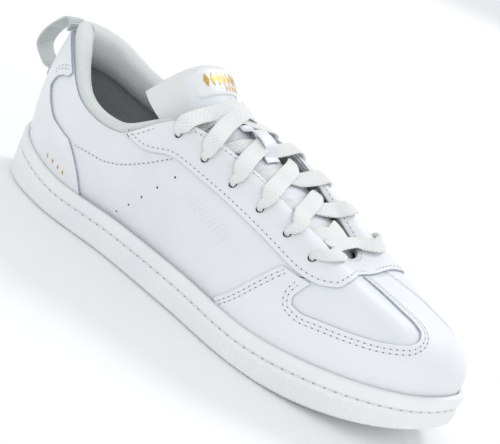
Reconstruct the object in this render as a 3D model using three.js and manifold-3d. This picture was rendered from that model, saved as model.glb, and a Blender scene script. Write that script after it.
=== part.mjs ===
// Low court shoe for the right foot: a leather upper on a rubber cup sole, laced over a padded tongue.
// Millimetres. +X runs to the toe, +Z is up and -Y is the lateral (outer) side.
import * as THREE from "three";
import { mergeVertices } from "three/addons/utils/BufferGeometryUtils.js";
import Module from "manifold-3d";

const wasm = await Module();
wasm.setup();

// Overall sizes of the upper: its seam with the sole, and the top of the collar at the heel.
const upperLength = 291;
const upperWidth = 91;
const collarHeight = 95;
const seamHeight = 29;

// Thicknesses of the sheets that are stitched together, and the air left between two of them.
const leather = 1.3;
const overlay = 1.3;
const stiffener = 0.7;
const lining = 1;
const layerGap = 0.3;

// Sole.
const cupWall = 3.2;
const cupFloor = 4.5;
const toeSpring = 13;
const seatDepth = 9;
const boardThickness = 1.6;
const socklinerThickness = 4;

// Collar, tongue and lace.
const collarPadding = 7.5;
const tonguePadding = 5;
const eyeletDiameter = 5;
const laceWidth = 7;
const laceThickness = 1.6;

// The feather line, where the upper meets the top of the cup: 16 stations from the back of the heel
// along the lateral side to the toe and back along the medial side, drawn at the sizes below.
const drawn = { length: 291, width: 91, collar: 95, seam: 29 };
const feather = [
  [5, 0, 29], [21, -24, 26], [58, -36, 21], [106, -36, 21],
  [157, -41, 21], [207, -47, 20], [249, -40, 24], [281, -22, 29],
  [296, 6, 32], [284, 27, 28], [256, 40, 25], [213, 44, 23],
  [165, 36, 23], [114, 30, 24], [61, 31, 27], [21, 24, 29],
];
// The top edge at the same stations: collar, edge of the lacing flap, throat, and back.
const topEdge = [
  [6, 0, 95], [22, -19, 89], [50, -32, 69], [83, -37, 67],
  [115, -32, 86], [155, -23, 82], [193, -21, 72], [213, -18, 65],
  [220, 2, 61], [213, 19, 62], [193, 25, 70], [155, 27, 86],
  [115, 32, 85], [83, 35, 78], [50, 31, 82], [22, 19, 93],
];
// How far each station's profile is a quarter ellipse (toe) and not a straight wall (heel),
// how full that ellipse is, and how far a straight wall bulges.
const roundness = [0, 0, 0, 0, 0.25, 0.6, 0.9, 1, 1, 1, 0.9, 0.6, 0.25, 0, 0, 0];
const fullness = [1.25, 1.25, 1.25, 1.25, 1.1, 1, 0.9, 0.78, 0.75, 0.78, 0.9, 1, 1.1, 1.25, 1.25, 1.25];
const bulge = [4, 4, 5, 5, 4, 3, 3, 3, 3, 3, 3, 3, 4, 5, 5, 4];

const featherLine = feather.map(([x, y, z]) => new THREE.Vector3(
  x * upperLength / drawn.length, y * upperWidth / drawn.width, z * seamHeight / drawn.seam));
const topLine = topEdge.map(([x, y, z]) => new THREE.Vector3(
  x * upperLength / drawn.length, y * upperWidth / drawn.width, z * collarHeight / drawn.collar));

// Value of a closed Catmull-Rom spline through the stations, with s going once round as 0 to 1.
function catmull(values, s) {
  const count = values.length;
  const turn = (s - Math.floor(s)) * count;
  const i = Math.floor(turn);
  const f = turn - i;
  const [a, b, c, d] = [-1, 0, 1, 2].map((k) => values[(i + k + count) % count]);
  return 0.5 * (2 * b + (c - a) * f + (2 * a - 5 * b + 4 * c - d) * f * f + (3 * b - a - 3 * c + d) * f ** 3);
}

function along(line, s) {
  return new THREE.Vector3(
    catmull(line.map((p) => p.x), s), catmull(line.map((p) => p.y), s), catmull(line.map((p) => p.z), s));
}

// Horizontal direction out of the shoe at s.
function outward(s) {
  const step = 0.001;
  const tangent = along(featherLine, s + step).sub(along(featherLine, s - step));
  return new THREE.Vector3(tangent.y, -tangent.x, 0).normalize();
}

// The outer face of the leather: s goes round the shoe, t goes from the feather line (0) to the top edge (1).
// Below the feather line the wall goes straight down into the cup, to t = wallFoot.
const wallFoot = -0.15;
function skin(s, t) {
  const foot = along(featherLine, s);
  if (t < 0) {
    return foot.setZ(foot.z - seatDepth * t / wallFoot);
  }
  const top = along(topLine, s);
  const round = Math.min(1, Math.max(0, catmull(roundness, s)));
  const plan = (1 - round) * t + round * (1 - Math.cos(Math.PI / 2 * t));
  const rise = (1 - round) * t + round * Math.sin(Math.PI / 2 * t) ** catmull(fullness, s);
  const point = new THREE.Vector3(
    foot.x + (top.x - foot.x) * plan, foot.y + (top.y - foot.y) * plan, foot.z + (top.z - foot.z) * rise);
  return point.addScaledVector(outward(s), catmull(bulge, s) * Math.sin(Math.PI * t) * (1 - 0.3 * t));
}

// Direction out of the skin at (s, t), level where the wall stands in the cup.
function skinNormal(s, t) {
  if (t <= 0) {
    return outward(s);
  }
  const step = 0.001;
  const above = Math.min(1, t + step);
  const round = skin(s + step, t).sub(skin(s - step, t));
  const up = skin(s, above).sub(skin(s, above - 2 * step));
  return up.cross(round).normalize().negate();
}

// Every sheet is cut from one net over the skin, so stacked sheets bend at the same lines and stay apart.
const columns = 48;
const rows = [wallFoot, 0, 0.17, 0.34, 0.5, 0.66, 0.83, 1];
const netPoints = new Map();
function netPoint(column, row, offset) {
  const key = `${(column + columns) % columns} ${row} ${offset}`;
  if (!netPoints.has(key)) {
    const s = column / columns;
    const t = rows[row];
    netPoints.set(key, skin(s, t).addScaledVector(skinNormal(s, t), offset));
  }
  return netPoints.get(key);
}

// Value at (s, t) of something known at the net's corners, each cell being two flat triangles.
function onNet(s, t, corner) {
  const column = Math.floor(s * columns + 1e-6);
  const row = Math.max(0, rows.findLastIndex((value, i) => i + 1 < rows.length && value <= t + 1e-6));
  const [u, v] = [s * columns - column, (t - rows[row]) / (rows[row + 1] - rows[row])];
  const [near, far] = [corner(column, row), corner(column + 1, row + 1)];
  return u > v
    ? near * (1 - u) + corner(column + 1, row) * (u - v) + far * v
    : near * (1 - v) + corner(column, row + 1) * (v - u) + far * u;
}

function netPlace(s, t, offset) {
  return new THREE.Vector3(...["x", "y", "z"].map((axis) => onNet(s, t, (c, r) => netPoint(c, r, offset)[axis])));
}

// One closed body from triangles given as corner positions, with its faces turned outwards.
function body(triangles) {
  const positions = new Float32Array(triangles.flatMap((triangle) => triangle.flatMap((p) => [p.x, p.y, p.z])));
  const geometry = new THREE.BufferGeometry();
  geometry.setAttribute("position", new THREE.BufferAttribute(positions, 3));
  const volume = triangles.reduce((sum, [a, b, c]) => sum + a.dot(b.clone().cross(c)), 0);
  const merged = mergeVertices(geometry, 0.002);
  const index = [...merged.index.array];
  const kept = [];
  for (let i = 0; i < index.length; i += 3) {
    const [a, b, c] = index.slice(i, i + 3);
    if (a !== b && b !== c && c !== a) {
      kept.push(...(volume > 0 ? [a, b, c] : [a, c, b]));
    }
  }
  merged.setIndex(kept);
  return merged;
}

// The net laid flat, as a slab of unit thickness. It is dished a little, so that no two triangles share a plane
// and a cut leaves every line of the net in place.
const flatScale = { s: 600, t: 100 };
const dish = (column, row) => 0.05 * (column * column + row * row) - 0.03 * column * row;
function flatNet(first, last) {
  const height = rows.length;
  const vertices = [];
  for (let column = first; column <= last; column += 1) {
    for (let row = 0; row < height; row += 1) {
      const [x, y] = [column / columns * flatScale.s, rows[row] * flatScale.t];
      vertices.push(x, y, dish(column - first, row), x, y, dish(column - first, row) + 1);
    }
  }
  const at = (column, row, side) => 2 * (column * height + row) + side;
  const faces = [];
  const quad = (a, b, c, d) => faces.push(a, b, c, a, c, d);
  const width = last - first;
  for (let i = 0; i < width; i += 1) {
    for (let j = 0; j + 1 < height; j += 1) {
      quad(at(i, j, 1), at(i + 1, j, 1), at(i + 1, j + 1, 1), at(i, j + 1, 1));
      quad(at(i, j, 0), at(i, j + 1, 0), at(i + 1, j + 1, 0), at(i + 1, j, 0));
    }
    quad(at(i, 0, 0), at(i + 1, 0, 0), at(i + 1, 0, 1), at(i, 0, 1));
    quad(at(i, height - 1, 1), at(i + 1, height - 1, 1), at(i + 1, height - 1, 0), at(i, height - 1, 0));
  }
  for (let j = 0; j + 1 < height; j += 1) {
    quad(at(0, j, 1), at(0, j + 1, 1), at(0, j + 1, 0), at(0, j, 0));
    quad(at(width, j, 0), at(width, j + 1, 0), at(width, j + 1, 1), at(width, j, 1));
  }
  const geometry = new THREE.BufferGeometry();
  geometry.setAttribute("position", new THREE.BufferAttribute(new Float32Array(vertices), 3));
  geometry.setIndex(faces);
  return geometry;
}

// A sheet with the outline given in (s, t), between two offsets from the skin: cut flat, then bent.
function panel(outline, inner, outer) {
  const columnsAcross = outline.map(([s]) => s * columns);
  const first = Math.floor(Math.min(...columnsAcross) + 1e-6);
  const last = Math.ceil(Math.max(...columnsAcross) - 1e-6);
  const shape = new THREE.Shape(outline.map(([s, t]) => new THREE.Vector2(s * flatScale.s, t * flatScale.t)));
  const reach = dish(last - first, rows.length) + 2;
  const cutter = new THREE.ExtrudeGeometry(shape, { depth: reach + 2, bevelEnabled: false }).translate(0, 0, -2);
  cutter.deleteAttribute("normal");
  cutter.deleteAttribute("uv");
  const cut = fromSolid(solid(flatNet(first, last)).intersect(solid(mergeVertices(cutter))));
  const position = cut.attributes.position;
  for (let i = 0; i < position.count; i += 1) {
    const [s, t] = [position.getX(i) / flatScale.s, position.getY(i) / flatScale.t];
    const under = onNet(s, t, (column, row) => dish(column - first, row));
    position.setXYZ(i, ...netPlace(s, t, position.getZ(i) - under > 0.5 ? outer : inner));
  }
  return cut;
}

// A body through closed rings of points. The first and last are closed across pairs of points (i, shift - i).
function loft(rings, shift) {
  const count = rings[0].length;
  const triangles = [];
  for (let k = 0; k + 1 < rings.length; k += 1) {
    for (let i = 0; i < count; i += 1) {
      const j = (i + 1) % count;
      triangles.push([rings[k][i], rings[k][j], rings[k + 1][j]], [rings[k][i], rings[k + 1][j], rings[k + 1][i]]);
    }
  }
  for (const [ring, turned] of [[rings[0], true], [rings.at(-1), false]]) {
    for (let i = 0; i < count / 2; i += 1) {
      const [a, b] = [ring[i], ring[(i + 1) % count]];
      const [c, d] = [ring[(shift - i + count) % count], ring[(shift - i - 1 + 2 * count) % count]];
      for (const face of [[a, b, c], [c, b, d]]) {
        if (new Set(face).size === 3) {
          triangles.push(turned ? face.reverse() : face);
        }
      }
    }
  }
  return body(triangles);
}

function solid(geometry) {
  return new wasm.Manifold(new wasm.Mesh({
    numProp: 3,
    vertProperties: new Float32Array(geometry.attributes.position.array),
    triVerts: new Uint32Array(geometry.index.array),
  }));
}

function fromSolid(result) {
  const mesh = result.getMesh();
  const geometry = new THREE.BufferGeometry();
  geometry.setAttribute("position", new THREE.BufferAttribute(new Float32Array(mesh.vertProperties), 3));
  geometry.setIndex([...mesh.triVerts]);
  return geometry;
}

const shoe = new THREE.Group();
function add(name, geometry, color, roughness, metalness = 0) {
  const mesh = new THREE.Mesh(geometry, new THREE.MeshStandardMaterial({ color, roughness, metalness }));
  mesh.name = name;
  shoe.add(mesh);
  return mesh;
}

const white = 0xf1f2f4;
const rubberWhite = 0xeeeeec;
const knit = 0xd3d6d0;
const foam = 0xc9cfd2;
const textile = 0xe6e6e2;
const gold = 0xc9962e;

// Offsets of the sheets from the skin, inner face first.
const baseLayer = [-leather, 0];
const overlayLayer = [layerGap, layerGap + overlay];
const stiffenerLayer = [-leather - layerGap - stiffener, -leather - layerGap];
const liningFace = stiffenerLayer[0] - layerGap;
const liningLayer = [liningFace - lining, liningFace];

// Outlines in (s, t). Those with a medial twin are given on the lateral side and mirrored about the toe.
const mirror = (outline) => outline.map(([s, t]) => [1 - s, t]).reverse();
const joined = (lateral) => [...lateral, ...mirror(lateral)];

const leatherTop = 0.93;
const backEdgeOfEyestay = [
  [0.25, 0.99], [0.225, 0.96], [0.197, leatherTop], [0.201, 0.9], [0.207, 0.845], [0.214, 0.79],
  [0.223, 0.75], [0.24, 0.725],
];
const lowEdgeOfEyestay = [
  [0.2575, 0.665], [0.2825, 0.605], [0.315, 0.53], [0.341, 0.45],
  [0.357, 0.455], [0.37, 0.49], [0.38, 0.53], [0.392, 0.605], [0.41, 0.7], [0.4325, 0.795], [0.46, 0.86],
];
const innerEdge = [[0.75, 1], [0.7, 1], [0.65, 1], [0.6, 1], [0.55, 1], [0.5, 1]];
const eyestayOutline = [
  ...backEdgeOfEyestay, ...lowEdgeOfEyestay, [0.5, 0.885], ...mirror([...backEdgeOfEyestay, ...lowEdgeOfEyestay]),
  ...innerEdge, ...mirror(innerEdge.slice(0, -1)),
];

const seam = [[0.28, wallFoot], [0.28, 0], [0.295, 0.145], [0.308, 0.26], [0.321, 0.365], [0.331, 0.44]];
const toeWindow = [
  [0.353, 0.435], [0.344, 0.355], [0.339, 0.3], [0.3385, 0.26], [0.345, 0.24], [0.359, 0.25], [0.388, 0.27],
  [0.405, 0.285], [0.424, 0.315], [0.4375, 0.345], [0.451, 0.41], [0.459, 0.475], [0.46, 0.54],
  [0.456, 0.62], [0.454, 0.715], [0.453, 0.8], [0.4525, 0.835],
];
const toeGuardOutline = joined([...seam, [0.341, 0.435], ...toeWindow, [0.46, 0.845], [0.4985, 0.87]]);

const heelCoverEdge = [
  [0.094, leatherTop], [0.092, 0.87], [0.082, 0.78], [0.071, 0.665], [0.068, 0.575], [0.0775, 0.535],
  [0.09, 0.505], [0.102, 0.49], [0.116, 0.51], [0.132, 0.515], [0.14, 0.43], [0.147, 0.27], [0.15, 0.03],
  [0.15, wallFoot],
];
const heelCoverOutline = [...heelCoverEdge, ...heelCoverEdge.map(([s, t]) => [-s, t]).reverse()];

const underSeam = [
  [0.288, wallFoot], [0.288, 0], [0.303, 0.145], [0.316, 0.26], [0.329, 0.365], [0.345, 0.44],
  [0.38, 0.58], [0.42, 0.8], [0.43, 1],
];
const heelSeam = 0.001;
const quarterOutline = [
  [heelSeam, wallFoot], ...underSeam, [0.3, 1], [0.26, 1], [0.225, 0.96], [0.197, leatherTop], [heelSeam, leatherTop],
];
const vampOutline = joined(underSeam.map(([s, t]) => [s + 0.0012, t]));

const strip = (from, to, low, high) => [[from, low], [to, low], [to, high], [from, high]];

// Eyelets, from the collar to the toe, as (s, t) on the lateral flap.
const eyelets = [[0.2475, 0.89], [0.27, 0.79], [0.2933, 0.735], [0.3158, 0.69], [0.3383, 0.655], [0.3583, 0.61]];
const medialShift = 0.008;

// The s at which the top edge reaches x, found from a guess on the right side of the shoe.
function edgeAt(x, guess) {
  const step = 0.005;
  let s = guess;
  for (let i = 0; i < 8; i += 1) {
    const perTurn = (skin(s + step, 1).x - skin(s - step, 1).x) / (2 * step);
    s += (x - skin(s, 1).x) / perTurn;
  }
  return s;
}

function eyelet(row, medial) {
  const [lateral, t] = eyelets[row];
  const s = medial ? 1 - lateral + medialShift : lateral;
  const normal = skinNormal(s, t);
  const centre = skin(s, t);
  const inward = skin(edgeAt(centre.x, s), 1).sub(centre);
  inward.addScaledVector(normal, -inward.dot(normal)).normalize();
  return { centre, normal, inward, s, t };
}

const punch = new THREE.CylinderGeometry(eyeletDiameter / 2, eyeletDiameter / 2, 16, 8);
punch.deleteAttribute("normal");
punch.deleteAttribute("uv");
const punchGeometry = mergeVertices(punch);
function punched(geometry, medialSides = [false, true]) {
  let result = solid(geometry);
  for (const medial of medialSides) {
    for (let row = 0; row < eyelets.length; row += 1) {
      const { centre, normal } = eyelet(row, medial);
      const turn = new THREE.Quaternion().setFromUnitVectors(new THREE.Vector3(0, 1, 0), normal);
      const hole = punchGeometry.clone().applyQuaternion(turn).translate(centre.x, centre.y, centre.z);
      result = result.subtract(solid(hole));
    }
  }
  return fromSolid(result);
}

// Sole: the rubber cup, the foam that fills it, the lasting board and the loose sockliner.
function groundLine(x) {
  const toeward = Math.max(0, (x / upperLength - 0.73) / 0.27);
  return toeSpring * toeward ** 2;
}

function soleRing(offset, height) {
  return Array.from({ length: columns }, (_, i) => {
    const s = i / columns;
    const foot = along(featherLine, s);
    const point = foot.clone().addScaledVector(outward(s), offset);
    return point.setZ(height(groundLine(foot.x), foot.z));
  });
}

function makeSole() {
  const inside = overlayLayer[1] + layerGap;
  const outside = inside + cupWall;
  const floorTop = (ground) => ground + cupFloor;
  add("outsole_cup", loft([
    soleRing(outside - 5, (ground) => ground),
    soleRing(outside - 1.5, (ground) => ground),
    soleRing(outside, (ground) => ground + 2.5),
    soleRing(outside + 0.3, (ground, seat) => ground + (seat - ground) * 0.6),
    soleRing(outside - 0.7, (ground, seat) => seat),
    soleRing(inside, (ground, seat) => seat),
    soleRing(inside, floorTop),
  ], 0), rubberWhite, 0.55);
  const seatUnder = seatDepth + 2 * layerGap;
  add("midsole_filler", loft([
    soleRing(inside - layerGap, (ground) => floorTop(ground) + layerGap),
    soleRing(inside - layerGap, (ground, seat) => seat - seatUnder),
  ], 0), foam, 0.9);
  const boardEdge = liningLayer[0] - layerGap;
  const boardLow = seatDepth - layerGap;
  add("lasting_board", loft([
    soleRing(boardEdge, (ground, seat) => seat - boardLow),
    soleRing(boardEdge, (ground, seat) => seat - boardLow + boardThickness),
  ], 0), textile, 0.9);
  const socklinerLow = boardLow - boardThickness - layerGap;
  add("sockliner", loft([
    soleRing(boardEdge - 0.3, (ground, seat) => seat - socklinerLow),
    soleRing(boardEdge - 0.3, (ground, seat) => seat - socklinerLow + socklinerThickness - 1),
    soleRing(boardEdge - 2, (ground, seat) => seat - socklinerLow + socklinerThickness),
  ], 0), 0x9fa9b3, 0.95);
}

function makeUpper() {
  add("quarter_lateral", punched(panel(quarterOutline, ...baseLayer), [false]), white, 0.45);
  add("quarter_medial", punched(panel(mirror(quarterOutline), ...baseLayer), [true]), white, 0.45);
  add("vamp", panel(vampOutline, ...baseLayer), white, 0.45);
  add("toe_guard", panel(toeGuardOutline, ...overlayLayer), white, 0.42);
  add("heel_cover", panel(heelCoverOutline, ...overlayLayer), white, 0.42);
  add("eyestay", punched(panel(eyestayOutline, ...overlayLayer)), white, 0.42);
  add("heel_stiffener", panel(strip(-0.13, 0.13, wallFoot, 0.5), ...stiffenerLayer), textile, 0.8);
  add("toe_puff", panel(strip(0.4, 0.6, wallFoot, 0.35), ...stiffenerLayer), textile, 0.8);
  const stay = [[0.225, 0.8], [0.262, 0.69], [0.3, 0.63], [0.34, 0.56], [0.372, 0.53], [0.372, 0.97], [0.225, 0.94]];
  add("eyelet_stay_lateral", punched(panel(stay, ...stiffenerLayer), [false]), textile, 0.8);
  add("eyelet_stay_medial", punched(panel(mirror(stay), ...stiffenerLayer), [true]), textile, 0.8);
  add("lining_heel", panel(strip(-0.2105, 0.2105, wallFoot, 0.6), ...liningLayer), knit, 0.95);
  add("lining_front", punched(panel(strip(0.2115, 0.7885, wallFoot, 1), ...liningLayer)), knit, 0.95);
}

// The padded knit roll round the ankle opening: under the leather outside, over the top, and down inside.
function makeCollar() {
  const end = 10;
  const rings = [];
  for (let column = -end; column <= end; column += 1) {
    const s = column / columns;
    const taper = Math.min(1, 0.35 + (end - Math.abs(column)) / 5);
    const depth = -leather - layerGap - collarPadding * taper;
    const normal = skinNormal(s, 0.95);
    const up = skin(s, 0.97).sub(skin(s, 0.93)).normalize();
    const top = skin(s, 1);
    const over = (across, rise) => top.clone().addScaledVector(normal, across).addScaledVector(up, rise);
    rings.push([
      netPlace(s, 0.62, -leather - layerGap), netPlace(s, 0.8, -leather - layerGap),
      netPlace(s, 0.935, -leather - layerGap),
      over(-0.6, -0.4), over(-1.6, 1.6), over(depth / 2, 2.4), over(depth * 0.85, 1.2),
      netPlace(s, 0.93, depth), netPlace(s, 0.8, depth), netPlace(s, 0.62, depth * 0.75),
    ]);
  }
  add("collar_padding", loft(rings, 9), knit, 0.95);
}

// The tongue's upper face from the toe end to its top: where its middle lies, half its width there,
// and how far its side edges drop below its middle.
const tongueStations = [
  { x: 237, y: 3, z: 54.5, half: 15, drop: 4 },
  { x: 222, y: 2, z: 56, half: 19, drop: 6 },
  { x: 208, y: 2, z: 61.5, half: 22, drop: 8 },
  { x: 193, y: 2, z: 68, half: 25, drop: 10 },
  { x: 172, y: 2, z: 76, half: 26, drop: 12 },
  { x: 155, y: 2, z: 82.5, half: 27, drop: 14 },
  { x: 134, y: 1, z: 91, half: 25.4, drop: 14 },
  { x: 116, y: 0, z: 98.5, half: 22.5, drop: 10 },
  { x: 104, y: 0, z: 104.5, half: 24, drop: 9 },
  { x: 92, y: -1, z: 110, half: 22, drop: 7 },
];
const tongueHinge = 7;
const tongueSwing = { forward: 12, back: 5 };

const tongueMiddle = (station) => new THREE.Vector3(
  station.x * upperLength / drawn.length, station.y * upperWidth / drawn.width,
  station.z * collarHeight / drawn.collar);

// Upward direction of the tongue at a station, square to its length.
function tongueNormal(k) {
  const before = tongueMiddle(tongueStations[Math.max(0, k - 1)]);
  const after = tongueMiddle(tongueStations[Math.min(tongueStations.length - 1, k + 1)]);
  const run = after.sub(before).setY(0).normalize();
  return new THREE.Vector3(run.z, 0, -run.x);
}

// Point of the tongue's upper face, raised by rise: k counts along the stations, u across from -1 to 1.
function onTongue(k, u, rise = 0) {
  const i = Math.min(tongueStations.length - 2, Math.floor(k));
  const point = (j) => {
    const { half, drop } = tongueStations[j];
    const scale = upperWidth / drawn.width;
    return tongueMiddle(tongueStations[j]).add(new THREE.Vector3(0, half * scale * u, 0))
      .addScaledVector(tongueNormal(j), rise - drop * u * u);
  };
  return point(i).lerp(point(i + 1), k - i);
}

const acrossTongue = [-1, -0.75, -0.4, 0, 0.4, 0.75, 1];
function tongueRing(k, thickness, move = (point) => point) {
  const upper = acrossTongue.map((u) => onTongue(k, u));
  const lower = acrossTongue.map((u) => onTongue(k, u, -thickness * (1 - 0.5 * u ** 4))).reverse();
  return [...upper, ...lower].map(move);
}

// A flat patch lying on the tongue between two stations and two places across.
function tonguePatch(from, to, left, right, thickness) {
  const rings = [];
  const steps = 4;
  for (let i = 0; i <= steps; i += 1) {
    const k = from + (to - from) * i / steps;
    const places = [0, 1, 2, 3].map((j) => left + (right - left) * j / 3);
    rings.push([
      ...places.map((u) => onTongue(k, u, 2 * layerGap + thickness)),
      ...places.map((u) => onTongue(k, u, 2 * layerGap)).reverse(),
    ]);
  }
  return loft(rings, 7);
}

function makeTongue() {
  const sweep = acrossTongue.length * 2 - 1;
  const thickness = (k) => (k < 2 ? 3 : tonguePadding);
  const lower = tongueStations.slice(0, tongueHinge + 1).map((_, k) => tongueRing(k, thickness(k)));
  add("tongue_lower", loft(lower, sweep), white, 0.6);
  const axis = onTongue(tongueHinge, 0, -3);
  const back = onTongue(tongueHinge + 1, 0).sub(onTongue(tongueHinge, 0)).normalize();
  const up = tongueNormal(tongueHinge);
  const opened = (point) => {
    const height = point.clone().sub(axis).dot(up);
    const swing = height > 0 ? tongueSwing.forward : tongueSwing.back;
    return point.clone().addScaledVector(back, 0.7 + 1.15 * Math.abs(height) * Math.sin(swing * Math.PI / 180));
  };
  const last = tongueStations.length - 1;
  const roundTop = tongueRing(last, tonguePadding).map((point) => point.clone().addScaledVector(back, 2.5)
    .lerp(onTongue(last, 0, -tonguePadding / 2).addScaledVector(back, 2.5), 0.25));
  add("tongue_top", loft([
    tongueRing(tongueHinge, tonguePadding, opened), tongueRing(tongueHinge + 1, tonguePadding + 1),
    tongueRing(last, tonguePadding), roundTop,
  ], sweep), white, 0.6);
  add("tongue_label", tonguePatch(tongueHinge + 0.5, last - 0.1, -0.6, 0.7, 0.8), white, 0.35);
}

// The keeper strap on the tongue: a low arch that the crossed laces pass under.
function makeKeeper() {
  const path = [
    [4.95, 0.6], [5.08, 0.6], [5.2, laceRise.over + 1.4], [5.5, laceRise.over + 1.8], [5.8, laceRise.over + 1.4],
    [5.92, 0.6], [6.1, 0.6],
  ];
  const rings = path.map(([k, rise]) => [
    onTongue(k, -0.2, rise + layerGap + 1), onTongue(k, 0.28, rise + layerGap + 1),
    onTongue(k, 0.28, rise + layerGap), onTongue(k, -0.2, rise + layerGap),
  ]);
  add("lace_keeper", loft(rings, 3), 0xf5f6f8, 0.2);
}

// The lace is one cord. It comes up through an eyelet, lies over that flap, crosses the tongue towards the
// heel, and goes under the other flap to its next eyelet. Both ends are tucked in beside the tongue.
const laceOver = overlayLayer[1] + layerGap + laceThickness / 2 + 0.8;
const laceUnder = liningLayer[0] - layerGap - laceThickness / 2 - 1.4;
const laceRise = { below: 1.9, over: 4.2 };
const barCamber = 1.2;

const route = [
  { row: 0, medial: true, up: false }, { row: 1, medial: false, up: false },
  { row: 2, medial: true, up: false }, { row: 3, medial: false, up: false },
  { row: 4, medial: true, up: false }, { row: 5, medial: false, up: true },
  { row: 5, medial: true, up: false }, { row: 4, medial: false, up: true },
  { row: 3, medial: true, up: true }, { row: 2, medial: false, up: true },
  { row: 1, medial: true, up: true }, { row: 0, medial: false, up: true },
];

// The point of the tongue's upper face under (x, y), raised, with the way up from it.
function overTongue(x, y, rise) {
  let k = 0;
  while (k + 2 < tongueStations.length && onTongue(k + 1, 0).x > x) {
    k += 1;
  }
  const share = THREE.MathUtils.clamp((x - onTongue(k, 0).x) / (onTongue(k + 1, 0).x - onTongue(k, 0).x), 0, 1);
  const centre = onTongue(k + share, 0);
  const half = onTongue(k + share, 1).y - centre.y;
  const across = (y - centre.y) / half;
  const ahead = onTongue(k + share, across - 0.05).sub(onTongue(k + share, across + 0.05));
  const normal = ahead.cross(tongueMiddle(tongueStations[k]).sub(tongueMiddle(tongueStations[k + 1]))).normalize();
  return { position: onTongue(k + share, across).addScaledVector(normal, Math.sign(normal.z) * rise), normal };
}

// Point over (level > 0) or under a flap. share counts from the eyelet (0) to the flap's inner edge (1) and
// past it, along a line that leans towards a far point.
function onFlap(hole, share, level, far) {
  const width = Math.abs(skin(edgeAt(hole.centre.x, hole.s), 1).y - hole.centre.y);
  const lean = (far.x - hole.centre.x) / Math.abs(far.y - hole.centre.y) * width;
  const edge = edgeAt(hole.centre.x + lean, hole.s);
  const inside = Math.min(1, share);
  const [s, t] = [hole.s + (edge - hole.s) * inside, hole.t + (1 - hole.t) * inside];
  const beyond = skin(edge, 1).sub(hole.centre).multiplyScalar(share - inside);
  const normal = skinNormal(s, Math.min(0.97, t));
  return { position: netPlace(s, t, level).add(beyond), normal };
}

function lacePoints() {
  const points = [];
  let face = 1;
  const put = (position, normal, width = laceWidth) => {
    points.push({ position, normal: normal.clone().multiplyScalar(face), width });
  };
  const holes = route.map((pass) => ({ ...eyelet(pass.row, pass.medial), ...pass }));
  const raised = (hole, height, aside) => netPlace(hole.s, hole.t, height).addScaledVector(hole.inward, aside);
  const beside = (hole, height) => onFlap(hole, 0.25, height, hole.centre.clone().setY(0)).position;
  const passHole = (hole) => {
    const [enter, leave] = hole.up ? [laceUnder, laceOver] : [laceOver, laceUnder];
    const slant = hole.inward.clone().multiplyScalar(hole.up ? 1 : -1);
    put(beside(hole, enter), hole.normal, 4);
    put(raised(hole, enter * 0.9, 0.5), hole.normal.clone().add(slant), 3);
    put(raised(hole, -1, 0), slant, 2.6);
    put(raised(hole, leave * 0.9, 0.5), slant.clone().sub(hole.normal), 3);
    face = -face;
    put(beside(hole, leave), hole.normal, 4);
  };
  const overFlap = (hole, level, far, shares) => {
    for (const share of shares) {
      const { position, normal } = onFlap(hole, share, level, far);
      put(position, normal, level > 0 ? laceWidth : laceWidth - 1.2);
    }
  };
  const level = (over) => (over ? laceOver : laceUnder);
  const shares = (over) => (over ? [0.6, 1] : [0.6, 1, 1.3]);
  const cross = (from, to, rise, crossing) => {
    for (const share of crossing) {
      const place = from.clone().lerp(to, share);
      const { position, normal } = overTongue(place.x, place.y, rise);
      put(position, normal.multiplyScalar(Math.sign(normal.z)));
    }
  };
  const link = (from, to) => {
    const [overFrom, overTo] = [from.up, !to.up];
    const [overLateral, overMedial] = from.medial ? [overTo, overFrom] : [overFrom, overTo];
    const lifted = overLateral || (!overMedial && from.medial);
    overFlap(from, level(overFrom), to.centre, shares(overFrom));
    if (overLateral && overMedial) {
      const middle = points.at(-1).position.clone().lerp(onFlap(to, 1, laceOver, from.centre).position, 0.5);
      put(middle.setZ(middle.z + barCamber), new THREE.Vector3(0, 0, 1));
    } else {
      const crossing = [0.35, 0.5, 0.65];
      if (from.row === 0) {
        crossing.unshift(0.2);
      }
      if (to.row === 0) {
        crossing.push(0.8);
      }
      cross(from.centre, to.centre, lifted ? laceRise.over : laceRise.below, crossing);
    }
    overFlap(to, level(overTo), from.centre, shares(overTo).reverse());
  };
  const [first, last] = [holes[0], holes.at(-1)];
  const underLateral = besideTongue(-1, laceRise.below);
  const underMedial = besideTongue(1, laceRise.over);
  put(underLateral.position, underLateral.normal, 5);
  cross(underLateral.position, first.centre, laceRise.below, [0.12, 0.3, 0.5, 0.7]);
  overFlap(first, laceOver, underLateral.position, shares(true).reverse());
  holes.forEach((hole, i) => {
    passHole(hole);
    if (i + 1 < holes.length) {
      link(hole, holes[i + 1]);
    }
  });
  overFlap(last, laceOver, underMedial.position, shares(true));
  cross(last.centre, underMedial.position, laceRise.over, [0.3, 0.5, 0.7, 0.88]);
  put(underMedial.position, underMedial.normal, 5);
  return points;
}

// Where a lace end is tucked in: beside the tongue, just inside the top of the flap.
function besideTongue(side, rise) {
  const edge = onTongue(tongueHinge - 0.75, side);
  return overTongue(edge.x, edge.y, rise);
}

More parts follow.
